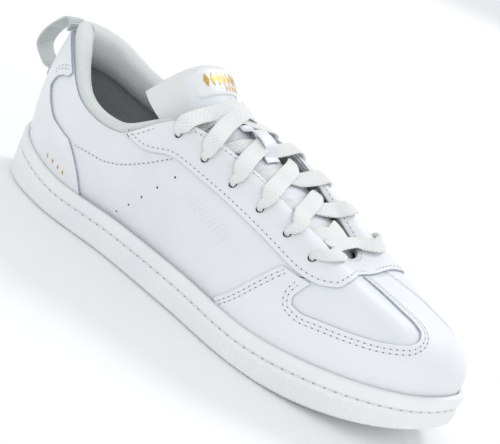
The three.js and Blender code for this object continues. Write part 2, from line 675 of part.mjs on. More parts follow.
// A flat cord through the points: six-sided, its broad face square to each point's normal.
function cord(points, steps) {
  const curve = new THREE.CatmullRomCurve3(points.map((p) => p.position), false, "centripetal");
  const rings = [];
  for (let i = 0; i <= steps; i += 1) {
    const share = i / steps * (points.length - 1);
    const k = Math.min(points.length - 2, Math.floor(share));
    const centre = curve.getPoint(i / steps);
    const tangent = curve.getTangent(i / steps);
    const normal = points[k].normal.clone().lerp(points[k + 1].normal, share - k);
    const side = tangent.clone().cross(normal).normalize();
    const thick = side.clone().cross(tangent).normalize();
    const half = THREE.MathUtils.lerp(points[k].width, points[k + 1].width, share - k) / 2;
    const deep = laceThickness / 2 * (half < 2 ? 1.2 : 1);
    const corners = [[-1, 0], [-0.7, 1], [0.7, 1], [1, 0], [0.7, -1], [-0.7, -1]];
    rings.push(corners.map(([a, b]) => centre.clone().addScaledVector(side, a * half).addScaledVector(thick, b * deep)));
  }
  return loft(rings, 5);
}

function makeLace() {
  const points = lacePoints();
  add("shoelace", cord(points, points.length - 1), 0xe9e8e2, 0.9);
}

// The pull tab: a bow of webbing behind the heel, sewn on at the collar and again lower down.
function makePullTab() {
  const halfWidth = 7;
  const thickness = 1.4;
  const sewnTop = skin(0, 0.93).addScaledVector(skinNormal(0, 0.93), overlayLayer[1] + layerGap + thickness / 2);
  const sewnLow = skin(0, 0.5).addScaledVector(skinNormal(0, 0.5), overlayLayer[1] + layerGap + thickness / 2);
  const span = sewnTop.z - sewnLow.z;
  const middle = [
    sewnTop.clone().add(new THREE.Vector3(-0.3, 0, -3)), sewnTop.clone().add(new THREE.Vector3(-0.4, 0, 2)),
    sewnTop.clone().add(new THREE.Vector3(-5, 0, 3.5)),
    new THREE.Vector3(sewnTop.x - 13, 0, sewnTop.z - span * 0.16), new THREE.Vector3(sewnTop.x - 18, 0, sewnTop.z - span * 0.45),
    new THREE.Vector3(sewnTop.x - 18, 0, sewnTop.z - span * 0.72), new THREE.Vector3(sewnLow.x - 5, 0, sewnLow.z + 0.5),
    sewnLow.clone().add(new THREE.Vector3(-0.5, 0, 0.5)), sewnLow.clone().add(new THREE.Vector3(0, 0, -4)),
  ];
  const curve = new THREE.CatmullRomCurve3(middle, false, "centripetal");
  const steps = 22;
  const rings = [];
  for (let i = 0; i <= steps; i += 1) {
    const centre = curve.getPoint(i / steps);
    const tangent = curve.getTangent(i / steps);
    const across = new THREE.Vector3(tangent.z, 0, -tangent.x).multiplyScalar(thickness / 2);
    const corner = (side, face) => centre.clone().addScaledVector(across, face)
      .add(new THREE.Vector3(0, side * halfWidth, 0));
    rings.push([corner(-1, 1), corner(1, 1), corner(1, -1), corner(-1, -1)]);
  }
  add("pull_tab", loft(rings, 3), 0xe3e6e6, 0.6);
}

makeSole();
makeUpper();
makeCollar();
makeTongue();
makeKeeper();
makeLace();
makePullTab();

// Stand the finished shoe on the middle of its footprint.
const bounds = new THREE.Box3().setFromObject(shoe);
shoe.position.set(-(bounds.min.x + bounds.max.x) / 2, -(bounds.min.y + bounds.max.y) / 2, -bounds.min.z);

export default shoe;
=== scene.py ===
"""White leather court shoe for the right foot, put together from the sole up. Blender 4.5."""
import math

import bmesh
import bpy
import numpy as np
from mathutils import Matrix, Vector
from mathutils.geometry import delaunay_2d_cdt
from mathutils.kdtree import KDTree


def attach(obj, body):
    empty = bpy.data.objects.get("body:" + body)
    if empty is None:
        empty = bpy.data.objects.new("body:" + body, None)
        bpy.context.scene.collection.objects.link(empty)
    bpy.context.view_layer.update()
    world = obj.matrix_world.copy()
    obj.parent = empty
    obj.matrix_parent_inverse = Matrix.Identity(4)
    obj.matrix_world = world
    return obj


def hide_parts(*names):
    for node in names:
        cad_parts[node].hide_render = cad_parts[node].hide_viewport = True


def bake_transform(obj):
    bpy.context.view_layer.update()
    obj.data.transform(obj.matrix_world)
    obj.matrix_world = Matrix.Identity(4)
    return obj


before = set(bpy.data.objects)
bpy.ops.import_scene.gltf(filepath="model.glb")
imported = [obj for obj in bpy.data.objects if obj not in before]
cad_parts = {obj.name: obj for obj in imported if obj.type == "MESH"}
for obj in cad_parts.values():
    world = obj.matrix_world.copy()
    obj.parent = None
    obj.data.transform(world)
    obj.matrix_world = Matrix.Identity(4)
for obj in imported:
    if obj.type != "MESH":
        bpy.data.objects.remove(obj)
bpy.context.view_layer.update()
bpy.ops.object.select_all(action="DESELECT")


# Cup sole -----------------------------------------------------------------------------------
# One moulded white rubber cup. Its wall has a smooth lip, a groove all round with the sidewall
# stitching in it, and fine upright ribs round the toe; the tread below is cut in zigzags.

# The line where the upper meets the cup, drawn in millimetres from the heel round the lateral side.
feather = np.array([
    [5, 0, 29], [21, -24, 26], [58, -36, 21], [106, -36, 21], [157, -41, 21], [207, -47, 20],
    [249, -40, 24], [281, -22, 29], [296, 6, 32], [284, 27, 28], [256, 40, 25], [213, 44, 23],
    [165, 36, 23], [114, 30, 24], [61, 31, 27], [21, 24, 29],
], float)
drawing_origin = np.array([-142.410, 1.503, 0.0])


def through(stations, s):
    """A closed smooth curve through the stations, with s going once round as 0 to 1."""
    stations = np.asarray(stations, float)
    turn = (np.asarray(s, float) % 1.0) * len(stations)
    i = np.floor(turn).astype(int)
    f = turn - i
    if stations.ndim == 2:
        f = f[..., None]
    a, b, c, d = (stations[(i + k) % len(stations)] for k in (-1, 0, 1, 2))
    cubic = (3 * b - a - 3 * c + d) * f ** 3
    return 0.5 * (2 * b + (c - a) * f + (2 * a - 5 * b + 4 * c - d) * f ** 2 + cubic)


def unit(vectors):
    return vectors / np.maximum(np.linalg.norm(vectors, axis=-1, keepdims=True), 1e-12)


def outward(s):
    """Level direction out of the shoe."""
    tangent = through(feather, s + 0.001) - through(feather, s - 0.001)
    return unit(np.stack([tangent[..., 1], -tangent[..., 0], 0 * tangent[..., 0]], -1))


def ground(x):
    """Height of the tread over the floor: the toe springs up."""
    return 13 * (np.maximum(0, x / 291 - 0.73) / 0.27) ** 2


def new_piece(name, points, faces, uv=None, face_slots=None, sharp=50):
    """A mesh object from points in drawing millimetres, with a UV map in metres. Its faces point out."""
    mesh = bpy.data.meshes.new(name)
    corners = (points + drawing_origin) / 1000
    fans = np.array([(f[0], f[i], f[i + 1]) for f in faces for i in range(1, len(f) - 1)])
    a, b, c = (corners[fans[:, side]] for side in range(3))
    volume = (a * np.cross(b, c)).sum()
    mesh.from_pydata(corners.tolist(), [], [list(f) for f in faces])
    if uv is not None:
        layer = mesh.uv_layers.new(name="thread")
        layer.data.foreach_set("uv", np.asarray(uv, np.float32).ravel())
    if face_slots is not None:
        mesh.polygons.foreach_set("material_index", np.asarray(face_slots, np.int32))
    mesh.polygons.foreach_set("use_smooth", [True] * len(mesh.polygons))
    mesh.set_sharp_from_angle(angle=math.radians(sharp))
    mesh.validate()
    if volume < 0:
        mesh.flip_normals()
    mesh.update()
    piece = bpy.data.objects.new(name, mesh)
    bpy.context.scene.collection.objects.link(piece)
    return piece


def joined_rings(rings, wrap=True, close=(True, True)):
    """Faces and UVs of a surface through rings of points: u runs round each ring and v along the rings."""
    rows, columns = rings.shape[:2]
    around = np.arange(columns if wrap else columns - 1)
    i, j = np.meshgrid(np.arange(rows - 1), around, indexing="ij")
    k = (j + 1) % columns
    quads = np.stack([i * columns + j, i * columns + k, (i + 1) * columns + k, (i + 1) * columns + j], -1)
    faces = quads.reshape(-1, 4).tolist()
    steps = np.linalg.norm(np.roll(rings, -1, 1) - rings, axis=-1).mean(0)
    u = np.concatenate([[0], np.cumsum(steps)]) / 1000
    lift = np.linalg.norm(rings[1:] - rings[:-1], axis=-1).mean(1)
    v = np.concatenate([[0], np.cumsum(lift)]) / 1000
    corners = np.stack([
        np.stack([u[j], v[i]], -1), np.stack([u[j + 1], v[i]], -1),
        np.stack([u[j + 1], v[i + 1]], -1), np.stack([u[j], v[i + 1]], -1)], -2).reshape(-1, 2)
    uv = [corners]
    if close[0]:
        faces.append(list(range(columns))[::-1])
        uv.append(np.zeros((columns, 2)))
    if close[1]:
        faces.append(list(range((rows - 1) * columns, rows * columns)))
        uv.append(np.zeros((columns, 2)))
    return faces, np.concatenate(uv)


def finish_recipe(name, color, roughness):
    """A new material and its shader, with the two values every finish starts from."""
    material = bpy.data.materials.new(name)
    material.use_nodes = True
    shader = material.node_tree.nodes["Principled BSDF"]
    shader.inputs["Base Color"].default_value = (*color, 1)
    shader.inputs["Roughness"].default_value = roughness
    return material, material.node_tree, shader


def texture(tree, kind, source, **values):
    """A texture node fed from Object or UV coordinates."""
    node = tree.nodes.new(kind)
    coordinates = tree.nodes.new("ShaderNodeTexCoord")
    tree.links.new(coordinates.outputs[source], node.inputs["Vector"])
    for key, value in values.items():
        if key in node.inputs:
            node.inputs[key].default_value = value
        else:
            setattr(node, key, value)
    return node


def combine(tree, operation, first, second):
    node = tree.nodes.new("ShaderNodeMath")
    node.operation = operation
    for socket, value in zip(node.inputs, (first, second)):
        if hasattr(value, "links"):
            tree.links.new(value, socket)
        else:
            socket.default_value = value
    return node.outputs[0]


def tint(tree, shader, factor, dark, light, low=0.3, high=0.7):
    """Colour varied between two tones by a factor."""
    ramp = tree.nodes.new("ShaderNodeValToRGB")
    ramp.color_ramp.elements[0].position = low
    ramp.color_ramp.elements[0].color = (*dark, 1)
    ramp.color_ramp.elements[1].position = high
    ramp.color_ramp.elements[1].color = (*light, 1)
    tree.links.new(factor, ramp.inputs[0])
    tree.links.new(ramp.outputs[0], shader.inputs["Base Color"])


def relief(tree, shader, height, depth):
    """Bump of that depth in metres."""
    bump = tree.nodes.new("ShaderNodeBump")
    bump.inputs["Distance"].default_value = depth
    tree.links.new(height, bump.inputs["Height"])
    tree.links.new(bump.outputs[0], shader.inputs["Normal"])


def vary_roughness(tree, shader, factor, low, high):
    spread = tree.nodes.new("ShaderNodeMapRange")
    spread.inputs["To Min"].default_value = low
    spread.inputs["To Max"].default_value = high
    tree.links.new(factor, spread.inputs["Value"])
    tree.links.new(spread.outputs[0], shader.inputs["Roughness"])


def cup_rubber():
    material, tree, shader = finish_recipe("cup rubber", (0.86, 0.865, 0.87), 0.5)
    cloud = texture(tree, "ShaderNodeTexNoise", "Object", Scale=22, Detail=4)
    grit = texture(tree, "ShaderNodeTexNoise", "Object", Scale=900, Detail=3)
    tint(tree, shader, cloud.outputs[0], (0.83, 0.835, 0.845), (0.885, 0.885, 0.885))
    vary_roughness(tree, shader, cloud.outputs[0], 0.42, 0.62)
    relief(tree, shader, grit.outputs[0], 0.00006)
    return material


def thread_finish(name, color):
    material, tree, shader = finish_recipe(name, color, 0.7)
    twist = texture(tree, "ShaderNodeTexNoise", "Object", Scale=1600, Detail=2)
    tint(tree, shader, twist.outputs[0], tuple(c * 0.86 for c in color), color)
    relief(tree, shader, twist.outputs[0], 0.00008)
    return material


# Finish of the small discs at the stitch ends: painted shade of the stitch holes, mottled by noise.
def needle_shadow(name, dark, light):
    material, tree, shader = finish_recipe(name, light, 0.95)
    hole_shade_mottle = texture(tree, "ShaderNodeTexNoise", "Object", Scale=1500, Detail=2)
    tint(tree, shader, hole_shade_mottle.outputs[0], dark, light)
    return material


cup_wall = 5.1
upper_seat = 1.9
toe_ribs = 1.45


def cup_profile(s):
    """Points of the wall at each s from the inner edge of the lip to the tread, as rows."""
    foot = through(feather, s)
    out = outward(s)
    floor = ground(foot[:, 0])
    ribbed = np.clip((foot[:, 0] - 176) / 25, 0, 1)
    length = np.concatenate([[0], np.cumsum(np.linalg.norm(np.diff(foot, axis=0), axis=1))])
    rib = 0.24 * ribbed * np.cos(2 * np.pi * length / toe_ribs)
    rows = []

    def row(offset, height):
        rows.append((foot + out * np.reshape(offset, (-1, 1))) * [1, 1, 0] + np.outer(height, [0, 0, 1]))

    seat = foot[:, 2]
    row(upper_seat + 0 * seat, seat - 8)
    row(upper_seat + 0 * seat, seat - 0.5)
    row(upper_seat + 0.3 + 0 * seat, seat)
    for inset, drop in [(1.3, 0), (0.75, 0.2), (0.3, 0.8), (0.1, 1.8), (0, 3.2), (0, 5.2), (0.05, 6.4),
                        (0.3, 6.9), (0.75, 7.2), (0.95, 7.7), (0.75, 8.3), (0.25, 8.7), (0, 9.3)]:
        row(cup_wall - inset + 0 * seat, seat - drop)
    for share in np.linspace(0.04, 0.86, 10):
        fade = min(1, share / 0.12) * min(1, (0.9 - share) / 0.12)
        height = (seat - 9.3) * (1 - share) + floor * share
        step = 0.12 * (1 - ribbed) * math.cos(2 * math.pi * share * 4)
        row(cup_wall + 0.12 + step + rib * max(0, fade), height)
    for inset, rise in [(0.15, 1.6), (0.6, 0.8), (1.3, 0.25), (2.4, 0)]:
        row(cup_wall - inset + 0 * seat, floor + rise)
    return np.array(rows)


def make_cup():
    s = np.arange(1900) / 1900
    wall = cup_profile(s)
    edge = wall[-1]
    spine = (edge + edge[(-np.arange(len(s))) % len(s)]) / 2
    tread = []
    for share in np.linspace(0.06, 1, 20):
        ring = edge * (1 - share) + spine * share
        zigzag = (ring[:, 0] + 5 * np.abs((ring[:, 1] / 11) % 2 - 1)) / 7.5 % 1
        cut = np.clip((0.22 - np.abs(zigzag - 0.5)) / 0.08, 0, 1) * min(1, share * 4) * (share < 0.99)
        ring = ring.copy()
        ring[:, 2] = ground(ring[:, 0]) + 1.4 * cut
        tread.append(ring)
    inner = wall[0]
    middle = (inner + inner[(-np.arange(len(s))) % len(s)]) / 2
    inner_floor = [middle, inner * 0.5 + middle * 0.5]
    rings = np.concatenate([inner_floor, wall, tread])
    faces, uv = joined_rings(rings, close=(False, False))
    cup = new_piece("cup_sole", rings.reshape(-1, 3), faces, uv, sharp=60)
    shell = bmesh.new()
    shell.from_mesh(cup.data)
    bmesh.ops.remove_doubles(shell, verts=shell.verts, dist=2e-7)
    shell.to_mesh(cup.data)
    shell.free()
    cup.data.materials.append(cup_rubber())
    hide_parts("outsole_cup")
    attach(cup, "shoe")


def sewn_row(points, normals, pitch, length, radius, lift, dip):
    """Stitches along a line of points: a small arched thread each, and at both its ends a small dark disc of
    painted shade where the thread goes into the leather.
    """
    run = np.concatenate([[0], np.cumsum(np.linalg.norm(np.diff(points, axis=0), axis=1))])
    count = max(1, int(run[-1] / pitch))
    starts = (np.arange(count) + 0.5) * run[-1] / count
    share = np.linspace(-0.5, 0.5, 5)
    ring = np.linspace(0, 2 * np.pi, 6, endpoint=False)

    def at(distance, values):
        return np.stack([np.interp(distance, run, values[:, k]) for k in range(3)], -1)

    vertices, faces, slots = [], [], []
    for start in starts:
        distance = start + share * length
        middle = at(distance, points)
        up = unit(at(distance, normals))
        forward = unit(np.gradient(middle, axis=0))
        side = np.cross(up, forward)
        arch = lift * (1 - (2 * share) ** 4) - dip * (2 * share) ** 4
        middle = middle + up * arch[:, None]
        thick = radius * (1 - 0.25 * (2 * share) ** 4)
        base = len(vertices)
        for k in range(5):
            for angle in ring:
                across = 1.25 * math.cos(angle) * side[k] + 0.9 * math.sin(angle) * up[k]
                vertices.append(middle[k] + thick[k] * across)
        for k in range(4):
            for a in range(6):
                b = (a + 1) % 6
                faces.append([base + k * 6 + a, base + k * 6 + b, base + k * 6 + 6 + b, base + k * 6 + 6 + a])
                slots.append(0)
        faces.append([base + a for a in range(5, -1, -1)])
        faces.append([base + 24 + a for a in range(6)])
        slots += [0, 0]
        # A flat disc at each end of the stitch, in the second material: painted shade of the stitch hole.
        for end, reach in ((0, -1), (4, 1)):
            base = len(vertices)
            centre = at(start + share[end] * length, points) + reach * forward[end] * radius * 1.2
            for angle in ring:
                around = 1.5 * math.cos(angle) * side[end] + 1.5 * math.sin(angle) * forward[end]
                vertices.append(centre + up[end] * 0.03 + radius * around)
            faces.append([base + a for a in range(6)])
            slots.append(1)
    return np.array(vertices), faces, slots


def sew(name, rows, thread, holes, pitch=3.1, length=2.2, radius=0.235, lift=0.14, dip=0.28):
    """One object with every row of stitches of a seam."""
    vertices, faces, slots = [], [], []
    for points, normals in rows:
        row_vertices, row_faces, row_slots = sewn_row(points, normals, pitch, length, radius, lift, dip)
        base = sum(len(v) for v in vertices)
        vertices.append(row_vertices)
        faces += [[base + i for i in face] for face in row_faces]
        slots += row_slots
    piece = new_piece(name, np.concatenate(vertices), faces, face_slots=slots)
    piece.data.materials.append(thread)
    # The second material colours the end discs as painted shade of the stitch holes.
    piece.data.materials.append(holes)
    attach(piece, "shoe")
    return piece


def make_sidewall_stitching():
    s = np.linspace(0.012, 1.012, 900)
    foot = through(feather, s)
    out = outward(s)
    line = (foot + out * (cup_wall - 0.8)) * [1, 1, 0] + np.outer(foot[:, 2] - 7.75, [0, 0, 1])
    thread = thread_finish("sidewall thread", (0.84, 0.84, 0.83))
    # Mid-grey end discs: painted shade of the stitch holes in the sidewall groove.
    holes = needle_shadow("sidewall needle hole painted shade", (0.36, 0.37, 0.38), (0.50, 0.51, 0.52))
    sew("sidewall_stitching", [(line, out)], thread, holes,
        pitch=5.4, length=3.9, radius=0.32, lift=0.05, dip=0.35)


make_cup()
make_sidewall_stitching()


# Inside of the sole -------------------------------------------------------------------------
# Foam fills the cup, a fibre board closes the upper over it, and a loose textile sockliner lies on top.
# Stiffeners of non-woven sheet are glued between the leather and the lining at heel, toe and eyelets.
def fibre_finish(name, dark, light, scale, depth, roughness=0.9):
    material, tree, shader = finish_recipe(name, light, roughness)
    fibre = texture(tree, "ShaderNodeTexNoise", "Object", Scale=scale, Detail=6, Roughness=0.7)
    blotch = texture(tree, "ShaderNodeTexNoise", "Object", Scale=scale / 12, Detail=2)
    mixed = combine(tree, "MULTIPLY", fibre.outputs[0], blotch.outputs[0])
    tint(tree, shader, mixed, dark, light, 0.15, 0.4)
    relief(tree, shader, fibre.outputs[0], depth)
    return material


def refinish(material, *nodes):
    for node in nodes:
        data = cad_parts[node].data
        data.materials.clear()
        data.materials.append(material)


refinish(fibre_finish("filler foam", (0.70, 0.72, 0.73), (0.82, 0.84, 0.85), 500, 0.0003), "midsole_filler")
refinish(fibre_finish("fibre board", (0.62, 0.60, 0.55), (0.80, 0.78, 0.73), 700, 0.0001), "lasting_board")
refinish(fibre_finish("sockliner pile", (0.24, 0.28, 0.33), (0.42, 0.47, 0.53), 1300, 0.0004), "sockliner")
refinish(fibre_finish("non-woven", (0.72, 0.72, 0.70), (0.88, 0.88, 0.86), 800, 0.0001),
         "heel_stiffener", "toe_puff", "eyelet_stay_lateral", "eyelet_stay_medial")


# Vamp and quarters --------------------------------------------------------------------------
# The base of the upper: three sheets of white leather, 1.3 mm thick, pulled over the last. The lateral
# quarter has a slanted row of punched air holes and a raised device; folds and grain are in the leather.

# The top edge of the upper at the feather's stations, and the shape of the wall between the two.
top_edge = np.array([
    [6, 0, 95], [22, -19, 89], [50, -32, 69], [83, -37, 67], [115, -32, 86], [155, -23, 82],
    [193, -21, 72], [213, -18, 65], [220, 2, 61], [213, 19, 62], [193, 25, 70], [155, 27, 86],
    [115, 32, 85], [83, 35, 78], [50, 31, 82], [22, 19, 93],
], float)
roundness = [0, 0, 0, 0, 0.25, 0.6, 0.9, 1, 1, 1, 0.9, 0.6, 0.25, 0, 0, 0]
fullness = [1.25, 1.25, 1.25, 1.25, 1.1, 1, 0.9, 0.78, 0.75, 0.78, 0.9, 1, 1.1, 1.25, 1.25, 1.25]
bulge = [4, 4, 5, 5, 4, 3, 3, 3, 3, 3, 3, 3, 4, 5, 5, 4]
leather_thickness = 1.3


def skin(s, t):
    """Outer face of the base leather: s goes round the shoe, t from the feather line (0) to the top edge (1)."""
    s, t = np.broadcast_arrays(np.asarray(s, float), np.asarray(t, float))
    foot = through(feather, s)
    top = through(top_edge, s)
    rounded = np.clip(through(roundness, s), 0, 1)
    above = np.clip(t, 0, 1.2)
    plan = (1 - rounded) * above + rounded * (1 - np.cos(np.pi / 2 * above))
    rise = (1 - rounded) * above + rounded * np.abs(np.sin(np.pi / 2 * above)) ** through(fullness, s)
    share = np.stack([plan, plan, rise], -1)
    swell = through(bulge, s) * np.sin(np.pi * np.clip(above, 0, 1)) * (1 - 0.3 * above)
    point = foot + (top - foot) * share + outward(s) * swell[..., None]
    point[..., 2] += np.minimum(t, 0) * 60
    return point


def skin_axes(s, t):
    """How the skin runs with s and with t, and its direction outwards."""
    e = 2e-4
    low = np.where(t >= e, t - e, np.maximum(t, 0))
    around = (skin(s + e, t) - skin(s - e, t)) / (2 * e)
    upwards = (skin(s, low + 2 * e) - skin(s, low)) / (2 * e)
    normal = -unit(np.cross(upwards, around))
    level = outward(s)
    return around, upwards, np.where(np.reshape(t, (-1, 1)) <= 0, level, normal)


def on_skin(flat, offset=0.0):
    s, t = flat[:, 0], flat[:, 1]
    return skin(s, t) + skin_axes(s, t)[2] * np.reshape(offset, (-1, 1))


def step_on_skin(flat, move):
    """Moves each (s, t) so that its point on the skin moves by the given millimetres."""
    around, upwards, _ = skin_axes(flat[:, 0], flat[:, 1])
    a, b, c = (np.sum(p * q, -1) for p, q in ((around, around), (around, upwards), (upwards, upwards)))
    p, q = np.sum(around * move, -1), np.sum(upwards * move, -1)
    det = np.maximum(a * c - b * b, 1e-9)
    return flat + np.stack([(c * p - b * q) / det, (a * q - b * p) / det], -1)


pattern_scale = np.array([700.0, 80.0])


def drawn_line(corners, closed=False, turn=34, step=0.9):
    """A smooth pattern line through (s, t) corners, left sharp where it turns more than that many degrees."""
    p = np.array(corners, float) * pattern_scale
    if closed:
        p = np.vstack([p, p[:1]])
    legs = np.diff(p, axis=0)
    lengths = np.linalg.norm(legs, axis=1)
    heads = legs / lengths[:, None]
    before = np.vstack([heads[-1:] if closed else heads[:1], heads])
    after = np.vstack([heads, heads[:1] if closed else heads[-1:]])
    sharp = np.sum(before * after, 1) < math.cos(math.radians(turn))
    shared = unit(before + after)
    leave = np.where(sharp[:, None], after, shared)
    arrive = np.where(sharp[:, None], before, shared)
    line = []
    for i, size in enumerate(lengths):
        f = np.linspace(0, 1, max(2, int(round(size / step)) + 1))[:-1, None]
        m0, m1 = leave[i] * size, arrive[i + 1] * size
        line.append((2 * f ** 3 - 3 * f ** 2 + 1) * p[i] + (f ** 3 - 2 * f ** 2 + f) * m0
                    + (3 * f ** 2 - 2 * f ** 3) * p[i + 1] + (f ** 3 - f ** 2) * m1)
    if not closed:
        line.append(p[-1:])
    return np.concatenate(line) / pattern_scale


def beside(line, distance, closed=False):
    """The line moved sideways over the skin: to its left, seen from outside, by the distance."""
    points = on_skin(line)
    if closed:
        tangent = np.roll(points, -1, 0) - np.roll(points, 1, 0)
    else:
        tangent = np.gradient(points, axis=0)
    normal = skin_axes(line[:, 0], line[:, 1])[2]
    return step_on_skin(line, unit(np.cross(normal, unit(tangent))) * distance)


def inside(points, loop):
    """Which points lie inside a closed loop, both in pattern millimetres."""
    a, b = loop, np.roll(loop, -1, 0)
    result = np.zeros(len(points), bool)
    for (x0, y0), (x1, y1) in zip(a, b):
        if y0 != y1:
            crosses = (y0 > points[:, 1]) != (y1 > points[:, 1])
            result ^= crosses & (points[:, 0] < (x1 - x0) * (points[:, 1] - y0) / (y1 - y0) + x0)
    return result


def nearest(points, samples):
    tree = KDTree(len(samples))
    for i, (x, y) in enumerate(samples):
        tree.insert((x, y, 0), i)
    tree.balance()
    return np.array([tree.find((x, y, 0))[2] for x, y in points])


def cut_sheet(name, outline, low, high, holes=(), creases=(), spacing=1.8, edge=0.4, turn=34):
    """A closed sheet of leather cut to an outline in (s, t): edges rounded, pressed in a little along its seams.

    holes are (s, t, radius in mm) and creases are pattern lines that the stitching pulls down."""
    outline = drawn_line(outline, True, turn)
    area = np.sum(outline[:, 0] * np.roll(outline[:, 1], -1) - outline[:, 1] * np.roll(outline[:, 0], -1))
    if area < 0:
        outline = outline[::-1]
    loop = outline * pattern_scale
    points, sinks = [loop], [np.full(len(loop), edge)]
    loops = [list(range(len(loop)))]
    grid = np.stack(np.meshgrid(
        np.arange(loop[:, 0].min(), loop[:, 0].max(), spacing),
        np.arange(loop[:, 1].min(), loop[:, 1].max(), spacing)), -1).reshape(-1, 2)
    grid = grid[inside(grid, loop)]
    extra, extra_sinks = [], []
    for distance, sink in ((0.28, 0.13), (0.8, 0.0)):
        extra.append(beside(outline, distance, True) * pattern_scale)
        extra_sinks.append(np.full(len(outline), edge * sink / 0.4))
    for line in creases:
        for distance, sink in ((0, 0.2), (-0.8, 0.05), (0.8, 0.05)):
            moved = beside(line, distance) if distance else line
            extra.append(moved * pattern_scale)
            extra_sinks.append(np.full(len(line), sink))
    extra, extra_sinks = np.concatenate(extra), np.concatenate(extra_sinks)
    keep = inside(extra, loop) & (nearest(extra, loop) > 0.18)
    extra, extra_sinks = extra[keep], extra_sinks[keep]
    cut_outs = []
    for s, t, radius in holes:
        centre = np.repeat([[s, t]], 20, 0)
        angle = np.linspace(0, 2 * np.pi, 20, endpoint=False)
        around, _, normal = skin_axes(centre[:, 0], centre[:, 1])
        first = unit(around)
        spoke = first * np.cos(angle)[:, None] + np.cross(normal, first) * np.sin(angle)[:, None]
        base = sum(len(p) for p in points)
        rim = step_on_skin(centre, spoke * radius) * pattern_scale
        points.append(rim)
        sinks.append(np.full(20, edge * 0.7))
        loops.append(list(range(base, base + 20)))
        cut_outs.append((rim, step_on_skin(centre, spoke * (radius + 0.45)) * pattern_scale))
    fixed = np.concatenate([extra] + [wide for _, wide in cut_outs]) if cut_outs else extra
    fixed_sinks = np.concatenate([extra_sinks, np.zeros(20 * len(cut_outs))])
    for rim, wide in cut_outs:
        keep = ~inside(fixed, rim) & (nearest(fixed, rim) > 0.1)
        fixed, fixed_sinks = fixed[keep], fixed_sinks[keep]
        grid = grid[~inside(grid, wide)]
    marks = np.concatenate([loop, fixed])
    grid = grid[nearest(grid, marks) > 0.55 * spacing]
    everything = np.concatenate(points + [fixed, grid])
    depth = np.concatenate(sinks + [fixed_sinks, np.zeros(len(grid))])
    edges = [(a, b) for ring in loops for a, b in zip(ring, ring[1:] + ring[:1])]
    flat, _, faces, origin, _, _ = delaunay_2d_cdt([Vector(p) for p in everything], edges, [], 1, 1e-5)
    flat = np.array([tuple(p) for p in flat])
    sink = np.array([max([depth[i] for i in ids if i < len(depth)], default=0.0) for ids in origin])
    faces = np.array([f for f in faces])
    middle = flat[faces].mean(1)
    keep = inside(middle, loop)
    for rim, _ in cut_outs:
        keep &= ~inside(middle, rim)
    faces = faces[keep]
    turned = np.cross(flat[faces[:, 1]] - flat[faces[:, 0]], flat[faces[:, 2]] - flat[faces[:, 0]]) < 0
    faces[turned] = faces[turned][:, ::-1]
    used, faces = np.unique(faces, return_inverse=True)
    faces = faces.reshape(-1, 3)
    flat, sink = flat[used] / pattern_scale, sink[used]
    count = len(flat)
    upper = on_skin(flat, high - sink)
    lower = on_skin(flat, low)
    pairs = np.concatenate([faces[:, [0, 1]], faces[:, [1, 2]], faces[:, [2, 0]]])
    known = {tuple(pair) for pair in pairs.tolist()}
    rims = [(a, b) for a, b in known if (b, a) not in known]
    walls = [[b, a, a + count, b + count] for a, b in rims]
    all_faces = faces.tolist() + (faces[:, ::-1] + count).tolist() + walls
    uv_map = flat * pattern_scale / 1000
    uv = np.concatenate([uv_map, uv_map])[np.concatenate([np.ravel(f) for f in all_faces])]
    slots = [0] * (2 * len(faces)) + [1] * len(walls)
    return new_piece(name, np.concatenate([upper, lower]), all_faces, uv, slots, sharp=55)


def smooth_leather(name, light=(0.83, 0.845, 0.87), dark=(0.775, 0.79, 0.82)):
    """Corrected-grain leather: fine pores, faint creasing, a soft even shine that dulls in patches."""
    material, tree, shader = finish_recipe(name, light, 0.42)
    pores = texture(tree, "ShaderNodeTexVoronoi", "Object", Scale=1150, Randomness=1)
    creasing = texture(tree, "ShaderNodeTexNoise", "Object", Scale=130, Detail=8, Roughness=0.62)
    cloud = texture(tree, "ShaderNodeTexNoise", "Object", Scale=17, Detail=3)
    tint(tree, shader, cloud.outputs[0], dark, light, 0.32, 0.6)
    vary_roughness(tree, shader, creasing.outputs[0], 0.34, 0.56)
    pebble = combine(tree, "MULTIPLY", pores.outputs["Distance"], 0.35)
    relief(tree, shader, combine(tree, "ADD", pebble, creasing.outputs[0]), 0.00022)
    shader.inputs["Specular IOR Level"].default_value = 0.42
    shader.inputs["Sheen Weight"].default_value = 0.04
    return material


def raw_edge():
    """The cut edge of the leather, coloured blue-grey, with a fibrous face."""
    material, tree, shader = finish_recipe("raw edge", (0.40, 0.45, 0.53), 0.85)
    fibre = texture(tree, "ShaderNodeTexNoise", "Object", Scale=900, Detail=5)
    tint(tree, shader, fibre.outputs[0], (0.27, 0.31, 0.38), (0.50, 0.55, 0.62))
    relief(tree, shader, fibre.outputs[0], 0.0002)
    return material


def panel(name, node, outline, low, high, finish, edge_finish, slot, **cut):
    piece = cut_sheet(name, outline, low, high, **cut)
    piece.data.materials.append(finish)
    piece.data.materials.append(edge_finish)
    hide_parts(node)
    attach(piece, "shoe")
    return piece


def mirrored(line):
    """The same line on the medial side."""
    return [[1 - s, t] for s, t in line][::-1]


leather_top = 0.93
below_lip = -0.06
under_seam = [
    [0.288, below_lip], [0.288, 0.02], [0.303, 0.145], [0.316, 0.26], [0.329, 0.365], [0.345, 0.44],
    [0.38, 0.58], [0.42, 0.8], [0.43, 1],
]
quarter = [
    [0.0006, below_lip], *[[s, below_lip] for s in np.arange(0.03, 0.28, 0.03)], *under_seam,
    [0.39, 1], [0.35, 1], [0.3, 1], [0.26, 1], [0.225, 0.965], [0.197, leather_top],
    *[[s, leather_top] for s in np.arange(0.18, 0.01, -0.02)],
    [0.0006, leather_top],
]
vamp_edge = [[s + 0.0008, t] for s, t in under_seam]
vamp = [*vamp_edge, [0.5, 1], *mirrored(vamp_edge), *[[s, below_lip] for s in np.arange(0.68, 0.31, -0.03)]]

